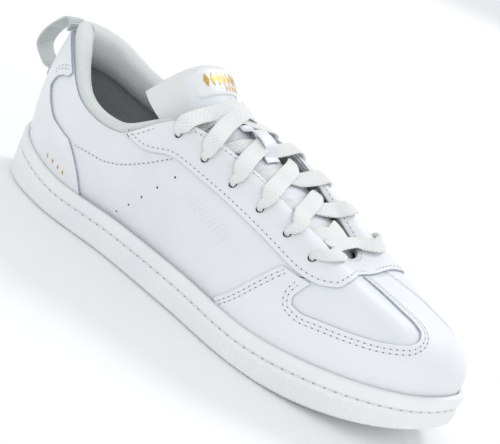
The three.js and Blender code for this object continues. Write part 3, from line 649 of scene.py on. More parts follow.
# Eyelets from the collar to the toe on the lateral flap; the medial ones sit a little nearer the heel.
eyelets = [[0.2475, 0.89], [0.27, 0.79], [0.2933, 0.735], [0.3158, 0.69], [0.3383, 0.655], [0.3583, 0.61]]
eyelet_radius = 2.15
lateral_holes = [(s, t, eyelet_radius) for s, t in eyelets]
medial_holes = [(1 - s + 0.008, t, eyelet_radius) for s, t in eyelets]
air_holes = [
    (0.2433, 0.585, 0.62), (0.2283, 0.485, 0.62), (0.2142, 0.375, 0.62), (0.2008, 0.25, 0.62),
    (0.1858, 0.085, 0.62),
]
collar_line = [
    [0.2408, 0.705], [0.23, 0.68], [0.219, 0.66], [0.204, 0.635], [0.186, 0.595], [0.172, 0.56],
    [0.159, 0.55], [0.14, 0.51],
]
collar_seam = drawn_line(collar_line)
medial_collar_seam = drawn_line([[1 - s, t] for s, t in [collar_line[0], *collar_line[2:]]])

quarter_leather = smooth_leather("quarter leather")
vamp_leather = smooth_leather("vamp leather", (0.82, 0.835, 0.865), (0.765, 0.785, 0.815))
raw_leather_edge = raw_edge()
panel("lateral_quarter", "quarter_lateral", quarter, -leather_thickness, 0, quarter_leather, raw_leather_edge,
      "quarter_leather", holes=lateral_holes + air_holes, creases=[collar_seam])
panel("medial_quarter", "quarter_medial", mirrored(quarter), -leather_thickness, 0, quarter_leather,
      raw_leather_edge, "quarter_leather", holes=medial_holes, creases=[medial_collar_seam])
panel("toe_vamp", "vamp", vamp, -leather_thickness, 0, vamp_leather, raw_leather_edge, "vamp_leather")


# Toe guard, heel cover and eyestay ------------------------------------------------------------
# Three leather overlays stitched on top of the base. Their raw edges show blue-grey at the guard's middle
# strip, the heel cover and the throat. The guard is one piece round the toe with a strip up the middle.
overlay = [0.06, 1.36]
seam = [[0.28, below_lip], [0.28, 0.02], [0.295, 0.145], [0.308, 0.26], [0.321, 0.365], [0.331, 0.44]]
window_low = [
    [0.353, 0.435], [0.344, 0.355], [0.339, 0.3], [0.3385, 0.26], [0.345, 0.24], [0.359, 0.25], [0.388, 0.27],
    [0.405, 0.285], [0.424, 0.315], [0.4375, 0.345], [0.451, 0.41], [0.459, 0.475],
]
strip_edge = [[0.46, 0.54], [0.456, 0.62], [0.454, 0.715], [0.453, 0.8], [0.4525, 0.835]]
guard_side = [*seam, [0.341, 0.435], *window_low, *strip_edge, [0.46, 0.845]]
guard_foot = [[s, below_lip] for s in np.arange(0.69, 0.3, -0.03)]
toe_guard = [*guard_side, [0.5, 0.87], *mirrored(guard_side), *guard_foot]

heel_front = [
    [0.094, leather_top], [0.092, 0.87], [0.082, 0.78], [0.071, 0.665], [0.068, 0.575], [0.0775, 0.535],
    [0.09, 0.505], [0.102, 0.49], [0.116, 0.51], [0.132, 0.515], [0.14, 0.43], [0.147, 0.27], [0.15, 0.03],
    [0.15, below_lip],
]
heel_foot = [[s, below_lip] for s in np.arange(0.12, -0.13, -0.03)]
heel_top = [[s, leather_top + 0.004] for s in np.arange(-0.075, 0.08, 0.015)]
heel_cover = [*heel_front, *heel_foot, *[[-s, t] for s, t in heel_front][::-1], *heel_top]

stay_back = [
    [0.25, 0.99], [0.225, 0.965], [0.197, leather_top], [0.201, 0.9], [0.207, 0.845], [0.214, 0.79],
    [0.223, 0.75], [0.24, 0.725],
]
stay_low = [
    [0.2575, 0.665], [0.27, 0.63], [0.2825, 0.605], [0.299, 0.57], [0.315, 0.53], [0.33, 0.485], [0.341, 0.455],
    [0.357, 0.455], [0.37, 0.49], [0.38, 0.53], [0.392, 0.605], [0.41, 0.7], [0.4325, 0.795], [0.46, 0.86],
    [0.483, 0.885],
]
throat = [[s, 1.0] for s in np.arange(0.72, 0.27, -0.02)]
eyestay = [*stay_back, *stay_low, [0.5, 0.89], *mirrored([*stay_back, *stay_low]), *throat]


def seam_row(line, distance, offset=1.36):
    """Points and normals of a row of stitches beside a pattern line, on an overlay or the base."""
    moved = beside(drawn_line(line, step=1.2), distance)
    return on_skin(moved, offset), skin_axes(moved[:, 0], moved[:, 1])[2]


def both_sides(line):
    return [line, mirrored(line)]


guard_leather = smooth_leather("guard leather", (0.85, 0.86, 0.88), (0.79, 0.805, 0.83))
panel("toe_guard_overlay", "toe_guard", toe_guard, *overlay, guard_leather, raw_leather_edge, "overlay_leather")
heel_cover_top = 1.8
panel("heel_cover_overlay", "heel_cover", heel_cover, overlay[0], heel_cover_top, guard_leather,
      raw_leather_edge, "overlay_leather")
panel("eyestay_overlay", "eyestay", eyestay, *overlay, guard_leather, raw_leather_edge, "overlay_leather",
      holes=lateral_holes + medial_holes)

# Double rows on the guard's side of the window and of its seam, single rows on the other overlays.
window = [[0.345, 0.372], *window_low[2:], *strip_edge]
upper_thread = thread_finish("upper thread", (0.86, 0.865, 0.875))
# Dark end discs: painted shade of the stitch holes in the leather.
needle_hole_shade = needle_shadow("needle hole painted shade", (0.13, 0.135, 0.15), (0.28, 0.285, 0.31))
guard_rows = [
    seam_row(line, gap)
    for edge in (window, seam[1:]) for line in both_sides(edge) for gap in (-2.2, -4.2)
]
heel_tack = [[0.067, 0.69], [0.069, 0.725], [0.079, 0.82], [0.088, 0.895]]
cover_rows = [seam_row(line, gap, heel_cover_top) for line in both_sides(heel_tack) for gap in (0, 2)]
stay_rows = [seam_row(line, 2.3) for line in both_sides([*stay_back[1:], *stay_low])]
stay_rows.append(seam_row([[s, 0.999] for s in np.arange(0.262, 0.73, 0.012)], -2.6))
base_rows = [seam_row(line, 0, 0.0) for line in both_sides(collar_line)]
sew("toe_guard_stitching", guard_rows, upper_thread, needle_hole_shade)
sew("heel_cover_stitching", cover_rows, upper_thread, needle_hole_shade)
sew("eyestay_stitching", stay_rows, upper_thread, needle_hole_shade)
sew("collar_stitching", base_rows, upper_thread, needle_hole_shade, pitch=2.8, length=1.9, radius=0.22)


# Lining and collar ----------------------------------------------------------------------------
# Grey-green knit lines the whole upper; inside the shoe it is coloured much darker than at the collar, as
# painted shade. Round the ankle it is drawn over a foam roll: it starts under the leather's top edge, rises over
# it and turns down inside.
def knit_finish(name, dark, light, gauge, depth):
    """Knitted cloth: rows of small loops, from two crossed waves on the cloth's own map."""
    material, tree, shader = finish_recipe(name, light, 0.92)
    loops = []
    for direction, stretch in (("X", 1.0), ("Y", 0.8)):
        wave = texture(tree, "ShaderNodeTexWave", "UV", Scale=0.314 / gauge * stretch, Distortion=0.8,
                       wave_type="BANDS", bands_direction=direction)
        wave.inputs["Detail Scale"].default_value = 3
        loops.append(wave.outputs["Fac"])
    mesh_height = combine(tree, "MULTIPLY", loops[0], loops[1])
    fuzz = texture(tree, "ShaderNodeTexNoise", "Object", Scale=700, Detail=4)
    height = combine(tree, "ADD", mesh_height, combine(tree, "MULTIPLY", fuzz.outputs[0], 0.35))
    # The tint follows the loops' height: the hollows between the loops are painted shade.
    tint(tree, shader, height, dark, light, 0.12, 0.75)
    relief(tree, shader, height, depth)
    shader.inputs["Sheen Weight"].default_value = 0.25
    return material


# Darker tones than the collar knit: painted shade of the shoe's inside.
lining_knit = knit_finish("lining knit with painted shade", (0.33, 0.36, 0.34), (0.56, 0.59, 0.57), 0.0013, 0.0003)
front_lining = [[0.2105, below_lip], [0.2105, 0.9], [0.225, 0.955], [0.25, 0.985], [0.28, 0.99], [0.5, 0.985],
                [0.72, 0.99], [0.75, 0.985], [0.775, 0.955], [0.7895, 0.9], [0.7895, below_lip],
                *[[s, below_lip] for s in np.arange(0.76, 0.23, -0.03)]]
heel_lining = [[-0.2105, below_lip], [-0.2105, 0.66], [0.2105, 0.66], [0.2105, below_lip],
               *[[s, below_lip] for s in np.arange(0.18, -0.2, -0.03)]]
for name, node, outline, holes in (
        ("front_lining", "lining_front", front_lining, lateral_holes + medial_holes),
        ("heel_lining", "lining_heel", heel_lining, [])):
    panel(name, node, outline, -3.5, -2.5, lining_knit, lining_knit, "lining_knit",
          holes=holes, edge=0.2, spacing=2.4)


def loop_through(points, count):
    """A smooth closed section through the points."""
    return through(np.array(points), np.arange(count) / count)


def make_collar():
    reach = 0.243
    rings = []
    for s in np.linspace(-reach, reach, 190):
        taper = np.clip((reach - abs(s)) / 0.075, 0, 1) ** 0.7
        pad = 11.2 * (0.2 + 0.8 * taper)
        one = np.array([s])
        top = skin(one, np.array([1.0]))[0]
        up = unit(skin(one, np.array([0.97]))[0] - skin(one, np.array([0.93]))[0])
        out = skin_axes(one, np.array([0.95]))[2][0]

        def on_wall(t, depth):
            return on_skin(np.array([[s, t]]), depth)[0]

        def over(across, rise):
            return top + out * across + up * rise

        crown = 0.6 + 1.6 * taper
        rings.append(loop_through([
            on_wall(0.64, -1.6), on_wall(0.8, -1.45), on_wall(0.92, -1.4),
            over(-0.5, -1.0), over(-0.7, 0.6 * crown), over(-2.0 - 0.1 * pad, 1.2 * crown),
            over(-1.4 - pad * 0.5, 1.15 * crown), over(-1.4 - pad * 0.85, 0.2),
            on_wall(0.93, -1.4 - pad), on_wall(0.8, -1.4 - pad), on_wall(0.68, -1.4 - pad * 0.65)], 56))
    rings = np.array(rings)
    faces, uv = joined_rings(rings)
    collar = new_piece("padded_collar", rings.reshape(-1, 3), faces, uv, sharp=80)
    collar_knit = knit_finish("collar knit", (0.64, 0.665, 0.645), (0.84, 0.855, 0.84), 0.0011, 0.0002)
    collar.data.materials.append(collar_knit)
    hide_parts("collar_padding")
    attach(collar, "shoe")
    return collar


make_collar()


# Tongue ---------------------------------------------------------------------------------------
# A padded tongue under the laces: soft leather on its face, knit on its back and sides. Its free top folds
# forward a little about the last lace crossing. A satin label is sewn on the top.
# Each station is the middle of the upper face, half the width there, how far the lateral and the medial side
# drop, and how late they bend down.
tongue_stations = np.array([
    [237, 3, 54.5, 17, 3, 3, 2], [222, 2, 57, 20, 4, 4, 2], [208, 2, 63, 24, 6, 5, 2],
    [193, 2, 69.5, 28, 7, 5, 2],
    [172, 2, 77, 29, 8, 5, 2], [155, 2, 83, 29.5, 12, 9, 2], [134, 2, 90.5, 28, 15, 12, 2],
    [118, 2, 97.5, 28, 22, 18, 2.3], [108, 2, 107, 29, 25, 20, 3.4], [97, 2, 113, 28, 24, 20, 3.4],
], float)
tongue_fold = 7
tongue_padding = 5.0


def tongue_up(k):
    """Direction out of the tongue's face at a station."""
    middle = tongue_stations[:, :3]
    before, after = middle[max(0, k - 1)], middle[min(len(middle) - 1, k + 1)]
    run = unit((after - before) * [1, 0, 1])
    return np.array([run[2], 0, -run[0]])


def on_tongue(k, u, rise=0.0):
    """Point of the tongue's face: k counts along the stations and u across, from -1 to 1."""
    i = int(min(len(tongue_stations) - 2, max(0, math.floor(k))))
    ends = []
    for j in (i, i + 1):
        middle, half, bend = tongue_stations[j, :3], tongue_stations[j, 3], tongue_stations[j, 6]
        drop = tongue_stations[j, 4 if u < 0 else 5]
        ends.append(middle + np.array([0, half * u, 0]) + tongue_up(j) * (rise - drop * abs(u) ** bend))
    return ends[0] + (ends[1] - ends[0]) * (k - i)


def soft_tongue(k, u, rise=0.0):
    """The same face without the breaks at the stations."""
    reach = 0.34
    return sum(on_tongue(min(9, max(0, k + d)), u, rise) for d in (-reach, -reach / 2, 0, reach / 2, reach)) / 5


def make_tongue():
    across = np.linspace(-1, 1, 41)
    rings = []
    for k in np.linspace(0, 9, 120):
        crown = 0.35 * math.exp(-((k - 8.3) / 0.9) ** 2)
        padding = 3 + (tongue_padding - 3) * np.clip(k - 1, 0, 1)
        end = np.clip((9 - k) / 0.25, 0, 1) ** 0.5
        upper = [soft_tongue(k, u, crown * 2 * (1 - u * u) - padding * 0.5 * (1 - end)) for u in across]
        depth = padding * (0.5 + 0.5 * end)
        lower = [soft_tongue(k, u, -depth * (1 - 0.55 * abs(u) ** 5)) for u in across[::-1]]
        left = soft_tongue(k, -1.035, -padding * 0.25)
        right = soft_tongue(k, 1.035, -padding * 0.25)
        rings.append([*upper, right, *lower, left])
    rings = np.array(rings)
    faces, uv = joined_rings(rings)
    columns = rings.shape[1]
    face_leather = [
        0 if 5 <= i < 35 and ring < 113 else 1
        for ring in range(len(rings) - 1) for i in range(columns)
    ] + [1, 1]
    tongue = new_piece("tongue", rings.reshape(-1, 3), faces, uv, face_leather, sharp=80)
    tongue.data.materials.append(smooth_leather("tongue leather", (0.80, 0.82, 0.86), (0.73, 0.755, 0.80)))
    tongue_knit = knit_finish("tongue knit", (0.76, 0.77, 0.765), (0.84, 0.845, 0.84), 0.0007, 0.0001)
    tongue.data.materials.append(tongue_knit)
    return tongue


def tongue_patch(name, first, last, left, right, low, high, steps=(26, 34), round_corner=0.25):
    """A thin patch with rounded corners lying on the tongue."""
    rows, columns = steps
    rings = []
    for i in range(rows + 1):
        f = i / rows
        near = min(f, 1 - f) / round_corner
        pull = 0.08 * (1 - math.sqrt(max(0, 1 - max(0, 1 - near) ** 2)))
        k = first + (last - first) * f
        places = np.linspace(left + pull * (right - left), right - pull * (right - left), columns)
        edge = 0.35 * (1 - min(1, near * 4))
        top = [soft_tongue(k, u, high - (edge if 0 < j < columns - 1 else 0.35)) for j, u in enumerate(places)]
        under = [soft_tongue(k, u, low) for u in places[::-1]]
        rings.append([*top, *under])
    rings = np.array(rings)
    faces, uv = joined_rings(rings)
    return new_piece(name, rings.reshape(-1, 3), faces, uv, sharp=60)


def satin(name, color):
    material, tree, shader = finish_recipe(name, color, 0.3)
    weave = texture(tree, "ShaderNodeTexWave", "UV", Scale=520, Distortion=0.4, wave_type="BANDS",
                    bands_direction="DIAGONAL")
    cloud = texture(tree, "ShaderNodeTexNoise", "Object", Scale=60, Detail=4)
    tint(tree, shader, cloud.outputs[0], tuple(c * 0.94 for c in color), color)
    vary_roughness(tree, shader, cloud.outputs[0], 0.26, 0.42)
    relief(tree, shader, weave.outputs["Fac"], 0.00005)
    return material


def gold_foil():
    material, tree, shader = finish_recipe("gold foil", (0.62, 0.38, 0.07), 0.38)
    wear = texture(tree, "ShaderNodeTexNoise", "Object", Scale=500, Detail=5)
    tint(tree, shader, wear.outputs[0], (0.50, 0.29, 0.05), (0.72, 0.47, 0.12))
    shader.inputs["Metallic"].default_value = 0.45
    relief(tree, shader, wear.outputs[0], 0.00005)
    return material


tongue = make_tongue()
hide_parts("tongue_lower", "tongue_top")
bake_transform(tongue)

label = tongue_patch("tongue_label_satin", 7.42, 8.62, -0.66, 0.74, 0.25, 1.35)
label.data.materials.append(satin("label satin", (0.88, 0.885, 0.89)))
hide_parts("tongue_label")
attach(label, "tongue_flap")


# Gold device on the label: a row of tall lozenges over a line of small ones.
def lozenges(name, places, along, across):
    """Flat lozenges of foil: each place is its middle and its two half diagonals as vectors, with a normal."""
    vertices, faces = [], []
    for middle, first, second, normal in places:
        base = len(vertices)
        for size, height in ((1, 0.0), (1, 0.12), (0.86, 0.17)):
            for a, b in ((1, 0), (0, 1), (-1, 0), (0, -1)):
                vertices.append(middle + first * a * along * size + second * b * across * size + normal * height)
        for ring in (0, 4):
            for i in range(4):
                j = (i + 1) % 4
                faces.append([base + ring + i, base + ring + j, base + ring + 4 + j, base + ring + 4 + i])
        faces.append([base + 8, base + 9, base + 10, base + 11])
        faces.append([base + 3, base + 2, base + 1, base])
    return new_piece(name, np.array(vertices), faces, sharp=20)


foil = gold_foil()


def label_spot(k, u, rise=1.33):
    here = soft_tongue(k, u, rise)
    across = unit(soft_tongue(k, u + 0.03, rise) - here)
    back = unit(soft_tongue(k + 0.05, u, rise) - here)
    return here, across, back, unit(np.cross(back, across)) * -1


def label_device(name, k, spots, along, across):
    places = []
    for u in spots:
        here, first, second, normal = label_spot(k, u)
        if normal[2] < 0:
            normal = -normal
        places.append((here, first, second, normal))
    device = lozenges(name, places, along, across)
    device.data.materials.append(foil)
    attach(device, "tongue_flap")


label_device("label_device_large", 8.06, np.linspace(-0.47, 0.47, 7), 1.9, 3.9)
label_device("label_device_small", 7.66, np.linspace(0.02, 0.46, 5), 0.9, 1.8)


# Lace keeper ----------------------------------------------------------------------------------
# A satin strap sewn across the tongue at both ends. The crossed laces pass under its low arch.
lace_over_tongue = 4.2


def make_keeper():
    path = np.array([
        [4.9, 0.5], [5.06, 0.62], [5.14, 2.4], [5.24, lace_over_tongue + 1.3], [5.5, lace_over_tongue + 1.9],
        [5.76, lace_over_tongue + 1.3], [5.86, 2.6], [5.95, 0.65], [6.12, 0.5]])
    share = np.linspace(0, len(path) - 1, 60)
    k = np.interp(share, np.arange(len(path)), path[:, 0])
    rise = np.interp(share, np.arange(len(path)), path[:, 1])
    soften = np.array([0.25, 0.5, 0.25])
    for _ in range(6):
        k[1:-1], rise[1:-1] = np.convolve(k, soften, "valid"), np.convolve(rise, soften, "valid")
    rings = []
    for here, height in zip(k, rise):
        places = np.linspace(-0.2, 0.28, 14)
        top = [on_tongue(here, u, height + 1.25 - (0.25 if j in (0, 13) else 0)) for j, u in enumerate(places)]
        under = [on_tongue(here, u, height + 0.35) for u in places[::-1]]
        rings.append([*top, *under])
    rings = np.array(rings)
    faces, uv = joined_rings(rings)
    keeper = new_piece("lace_keeper_strap", rings.reshape(-1, 3), faces, uv, sharp=60)
    keeper.data.materials.append(satin("keeper satin", (0.84, 0.85, 0.89)))
    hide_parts("lace_keeper")
    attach(keeper, "shoe")


make_keeper()


# Lace -----------------------------------------------------------------------------------------
# One flat braided cord. It comes up through an eyelet, lies over that flap, crosses the tongue towards the
# heel and goes under the other flap to its next eyelet. Both ends are tucked in beside the tongue.
lace_width = 9.8
lace_thickness = 1.7
lace_over = 3.35
lace_under = -6.1
lace_below = 1.9

# Eyelets in the order the lace takes them: row from the collar, side, and whether it comes up there.
lace_route = [
    (0, "medial", False), (1, "lateral", False), (2, "medial", False), (3, "lateral", False),
    (4, "medial", False), (5, "lateral", True), (5, "medial", False), (4, "lateral", True),
    (3, "medial", True), (2, "lateral", True), (1, "medial", True), (0, "lateral", True),
]


def skin_at(s, t, offset=0.0):
    return on_skin(np.array([[s, t]]), offset)[0]


def skin_normal(s, t):
    return skin_axes(np.array([s]), np.array([t]))[2][0]


def edge_at(x, guess):
    """The s at which the top edge reaches x."""
    s = guess
    for _ in range(8):
        slope = (skin_at(s + 0.005, 1)[0] - skin_at(s - 0.005, 1)[0]) / 0.01
        s += (x - skin_at(s, 1)[0]) / slope
    return s


def lace_eyelet(row, side, up):
    s, t = eyelets[row]
    s = 1 - s + 0.008 if side == "medial" else s
    centre, normal = skin_at(s, t), skin_normal(s, t)
    inward = skin_at(edge_at(centre[0], s), 1) - centre
    inward = unit(inward - normal * inward.dot(normal))
    return {"s": s, "t": t, "centre": centre, "normal": normal, "inward": inward,
            "side": side, "up": up, "row": row}


def over_tongue(x, y, rise):
    """The point over the tongue's face under (x, y), and the direction out of the face."""
    k = 0
    while k + 2 < len(tongue_stations) and on_tongue(k + 1, 0)[0] > x:
        k += 1
    near, far = on_tongue(k, 0)[0], on_tongue(k + 1, 0)[0]
    place = k + min(1, max(0, (x - near) / (far - near)))
    middle = on_tongue(place, 0)
    across = (y - middle[1]) / (on_tongue(place, 1)[1] - middle[1])
    side = on_tongue(place, across - 0.05) - on_tongue(place, across + 0.05)
    normal = unit(np.cross(side, tongue_stations[k, :3] - tongue_stations[k + 1, :3]))
    normal = normal * np.sign(normal[2])
    return on_tongue(place, across) + normal * rise, normal


def on_flap(hole, share, level, far):
    """Point over or under a flap, from its eyelet (0) to the flap's inner edge (1) and past it."""
    width = abs(skin_at(edge_at(hole["centre"][0], hole["s"]), 1)[1] - hole["centre"][1])
    lean = (far[0] - hole["centre"][0]) / abs(far[1] - hole["centre"][1]) * width
    edge = edge_at(hole["centre"][0] + lean, hole["s"])
    within = min(1, share)
    s = hole["s"] + (edge - hole["s"]) * within
    t = hole["t"] + (1 - hole["t"]) * within
    beyond = (skin_at(edge, 1) - hole["centre"]) * (share - within)
    return skin_at(s, t, level) + beyond, skin_normal(s, min(0.97, t))


def lace_line():
    """Points of the lace with its broad face's direction and its width there."""
    line = []
    face = [1]

    def put(position, normal, width=lace_width):
        line.append((position, normal * face[0], width))

    holes = [lace_eyelet(*stop) for stop in lace_route]

    def beside_hole(hole, height):
        return on_flap(hole, 0.25, height, hole["centre"] * [1, 0, 1])[0]

    def over_flap(hole, level, far, shares):
        for share in shares:
            position, normal = on_flap(hole, share, level, far)
            put(position, normal, lace_width if level > 0 else lace_width - 3.6)

    def pass_hole(hole):
        enter, leave = (lace_under, lace_over) if hole["up"] else (lace_over, lace_under)
        slant = hole["inward"] * (1 if hole["up"] else -1)
        put(beside_hole(hole, enter), hole["normal"], 6.6 if enter > 0 else 4)
        put(skin_at(hole["s"], hole["t"], enter * 0.9) + hole["inward"] * 0.5, hole["normal"] + slant, 3.4)
        put(skin_at(hole["s"], hole["t"], -1), slant, 2.6)
        put(skin_at(hole["s"], hole["t"], leave * 0.9) + hole["inward"] * 0.5, slant - hole["normal"], 3.4)
        face[0] = -face[0]
        put(beside_hole(hole, leave), hole["normal"], 6.6 if leave > 0 else 4)

    def cross(start, end, rise, shares):
        for share in shares:
            x, y, _ = start + (end - start) * share
            put(*over_tongue(x, y, rise))

    def link(start, end):
        over_start, over_end = start["up"], not end["up"]
        lateral, medial = (over_end, over_start) if start["side"] == "medial" else (over_start, over_end)
        lifted = lateral or (not medial and start["side"] == "medial")
        if over_start:
            over_flap(start, lace_over, end["centre"], [0.6, 1])
        else:
            over_flap(start, lace_under, end["centre"], [0.6, 1, 1.3])
        if lateral and medial:
            far = on_flap(end, 1, lace_over, start["centre"])[0]
            put((line[-1][0] + far) / 2 + [0, 0, 1.2], np.array([0, 0, 1.0]))
        else:
            shares = [0.2] * (start["row"] == 0) + [0.35, 0.5, 0.65] + [0.8] * (end["row"] == 0)
            cross(start["centre"], end["centre"], lace_over_tongue if lifted else lace_below, shares)
        if over_end:
            over_flap(end, lace_over, start["centre"], [1, 0.6])
        else:
            over_flap(end, lace_under, start["centre"], [1.3, 1, 0.6])

    ends = []
    for side, rise in ((-1, lace_below), (1, lace_over_tongue)):
        edge = on_tongue(tongue_fold - 1.15, side)
        ends.append(over_tongue(edge[0], edge[1], rise))
    put(*ends[0], 5)
    cross(ends[0][0], holes[0]["centre"], lace_below, [0.12, 0.3, 0.5, 0.7])
    over_flap(holes[0], lace_over, ends[0][0], [1, 0.6])
    for hole, following in zip(holes, [*holes[1:], None]):
        pass_hole(hole)
        if following:
            link(hole, following)
    over_flap(holes[-1], lace_over, ends[1][0], [0.6, 1])
    cross(holes[-1]["centre"], ends[1][0], 2.6, [0.3])
    cross(holes[-1]["centre"], ends[1][0], lace_over_tongue, [0.5, 0.7, 0.88])
    put(*ends[1], 5)
    return line


def braid():
    """Flat cotton braid: strands that slant from the middle to both edges, on the lace's own map."""
    material, tree, shader = finish_recipe("lace braid", (0.83, 0.825, 0.80), 0.88)
    coordinates = tree.nodes.new("ShaderNodeTexCoord")
    parts = tree.nodes.new("ShaderNodeSeparateXYZ")
    tree.links.new(coordinates.outputs["UV"], parts.inputs[0])
    from_middle = combine(tree, "ABSOLUTE", combine(tree, "SUBTRACT", parts.outputs[1], 0.0052), 0.0)
    slanted = combine(tree, "ADD", parts.outputs[0], combine(tree, "MULTIPLY", from_middle, 0.8))
    plait = tree.nodes.new("ShaderNodeCombineXYZ")
    tree.links.new(slanted, plait.inputs[0])
    tree.links.new(parts.outputs[1], plait.inputs[1])
    strands = []
    for direction, width in (("X", 0.0019), ("Y", 0.0014)):
        wave = tree.nodes.new("ShaderNodeTexWave")
        wave.bands_direction = direction
        wave.inputs["Scale"].default_value = 0.314 / width
        wave.inputs["Distortion"].default_value = 0.6
        tree.links.new(plait.outputs[0], wave.inputs["Vector"])
        strands.append(wave.outputs["Fac"])
    crossing = combine(tree, "ADD", strands[0], combine(tree, "MULTIPLY", strands[1], 0.35))
    fuzz = texture(tree, "ShaderNodeTexNoise", "Object", Scale=1100, Detail=4)
    height = combine(tree, "ADD", crossing, combine(tree, "MULTIPLY", fuzz.outputs[0], 0.4))
    # The tint follows the strands' height: the grooves between the strands are painted shade.
    tint(tree, shader, height, (0.77, 0.765, 0.75), (0.87, 0.867, 0.855), 0.1, 1.2)
    relief(tree, shader, height, 0.00022)
    shader.inputs["Sheen Weight"].default_value = 0.2
    return material


def make_lace():
    line = lace_line()
    points = np.array([p for p, _, _ in line])
    normals = np.array([n for _, n, _ in line])
    widths = np.array([w for _, _, w in line])
    gaps = np.sqrt(np.linalg.norm(np.diff(points, axis=0), axis=1))
    samples, weights = [], []
    for i in range(len(points) - 1):
        f = np.linspace(0, 1, 11)[:-1]
        size = gaps[i]
        before = points[i - 1] if i else 2 * points[0] - points[1]
        after = points[i + 2] if i + 2 < len(points) else 2 * points[-1] - points[-2]
        d0 = gaps[i - 1] if i else size
        d2 = gaps[i + 1] if i + 1 < len(gaps) else size
        step = (points[i + 1] - points[i]) / size
        m0 = ((points[i] - before) / d0 - (points[i + 1] - before) / (d0 + size) + step) * size
        m1 = (step - (after - points[i]) / (size + d2) + (after - points[i + 1]) / d2) * size
        f = f[:, None]
        samples.append((2 * f ** 3 - 3 * f ** 2 + 1) * points[i] + (f ** 3 - 2 * f ** 2 + f) * m0
                       + (3 * f ** 2 - 2 * f ** 3) * points[i + 1] + (f ** 3 - f ** 2) * m1)
        weights.append(i + f[:, 0])
    middle = np.concatenate(samples)
    place = np.concatenate(weights)
    normal = np.stack([np.interp(place, np.arange(len(line)), normals[:, k]) for k in range(3)], -1)
    half = np.interp(place, np.arange(len(line)), widths) / 2
    forward = unit(np.gradient(middle, axis=0))
    side = unit(np.cross(forward, normal))
    thick = np.cross(side, forward)
    run = np.concatenate([[0], np.cumsum(np.linalg.norm(np.diff(middle, axis=0), axis=1))])
    angle = np.linspace(0, 2 * np.pi, 20, endpoint=False)
    across = np.sign(np.cos(angle)) * np.abs(np.cos(angle)) ** 0.7
    deep = np.sign(np.sin(angle)) * np.abs(np.sin(angle)) ** 0.75
    depth = lace_thickness / 2 * np.clip(5.2 / (2 * half), 1, 1.45) * (1 + 0.04 * np.sin(run * 0.9))
    rings = (middle[:, None] + side[:, None] * (across[None, :, None] * half[:, None, None])
             + thick[:, None] * (deep[None, :, None] * depth[:, None, None]))
    faces, uv = joined_rings(rings)
    lace = new_piece("flat_lace", rings.reshape(-1, 3), faces, uv, sharp=80)
    lace.data.materials.append(braid())
    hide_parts("shoelace")
    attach(lace, "shoe")


make_lace()


# Pull tab -------------------------------------------------------------------------------------
# A bow of ribbed, half-clear webbing at the back of the heel, sewn on below the collar and again lower down.
def webbing():
    material, tree, shader = finish_recipe("ribbed webbing", (0.74, 0.77, 0.77), 0.45)
    rib = texture(tree, "ShaderNodeTexWave", "UV", Scale=0.314 / 0.0011, Distortion=0.2, wave_type="BANDS",
                  bands_direction="Y")
    cross_rib = texture(tree, "ShaderNodeTexWave", "UV", Scale=0.314 / 0.0016, Distortion=0.2,
                        wave_type="BANDS", bands_direction="X")
    height = combine(tree, "ADD", rib.outputs["Fac"], combine(tree, "MULTIPLY", cross_rib.outputs["Fac"], 0.3))
    # The tint follows the ribs' height: the grooves between the ribs are painted shade.
    tint(tree, shader, height, (0.60, 0.64, 0.64), (0.82, 0.845, 0.845), 0.1, 1.1)
    relief(tree, shader, height, 0.0003)
    shader.inputs["Transmission Weight"].default_value = 0.15
    return material


def make_pull_tab():
    half_width, thickness = 7.0, 1.4
    stand = heel_cover_top + thickness / 2
    top = skin_at(0, 0.93) + skin_normal(0, 0.93) * stand
    low = skin_at(0, 0.5) + skin_normal(0, 0.5) * stand
    span = top[2] - low[2]
    middle = np.array([
        top + [-0.3, 0, -3], top + [-0.4, 0, 2], top + [-5, 0, 3.5], [top[0] - 13, 0, top[2] - span * 0.16],
        [top[0] - 18, 0, top[2] - span * 0.45], [top[0] - 18, 0, top[2] - span * 0.72],
        [low[0] - 5, 0, low[2] + 0.5],
        low + [-0.5, 0, 0.5], low + [0, 0, -4]])
    share = np.linspace(0, len(middle) - 1.001, 150)
    i = np.floor(share).astype(int)
    f = (share - i)[:, None]
    padded_line = np.vstack([2 * middle[0] - middle[1], middle, 2 * middle[-1] - middle[-2]])
    a, b, c, d = (padded_line[i + k] for k in range(4))
    path = 0.5 * (2 * b + (c - a) * f + (2 * a - 5 * b + 4 * c - d) * f ** 2 + (3 * b - a - 3 * c + d) * f ** 3)
    forward = unit(np.gradient(path, axis=0))
    out = np.stack([-forward[:, 2], 0 * forward[:, 0], forward[:, 0]], -1)
    run = np.concatenate([[0], np.cumsum(np.linalg.norm(np.diff(path, axis=0), axis=1))])
    places = np.linspace(-1, 1, 25)
    rings = []
    for k in range(len(path)):
        ridge = 0.10 * math.cos(2 * math.pi * run[k] / 1.1)
        ring = []
        for side, order in ((1, places), (-1, places[::-1])):
            for y in order:
                depth = thickness / 2 + ridge - 0.25 * abs(y) ** 8
                ring.append(path[k] + side * out[k] * depth + [0, y * half_width, 0])
        rings.append(ring)
    rings = np.array(rings)
    faces, uv = joined_rings(rings)
    tab = new_piece("pull_tab_webbing", rings.reshape(-1, 3), faces, uv, sharp=70)
    tab.data.materials.append(webbing())
    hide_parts("pull_tab")
    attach(tab, "shoe")


make_pull_tab()


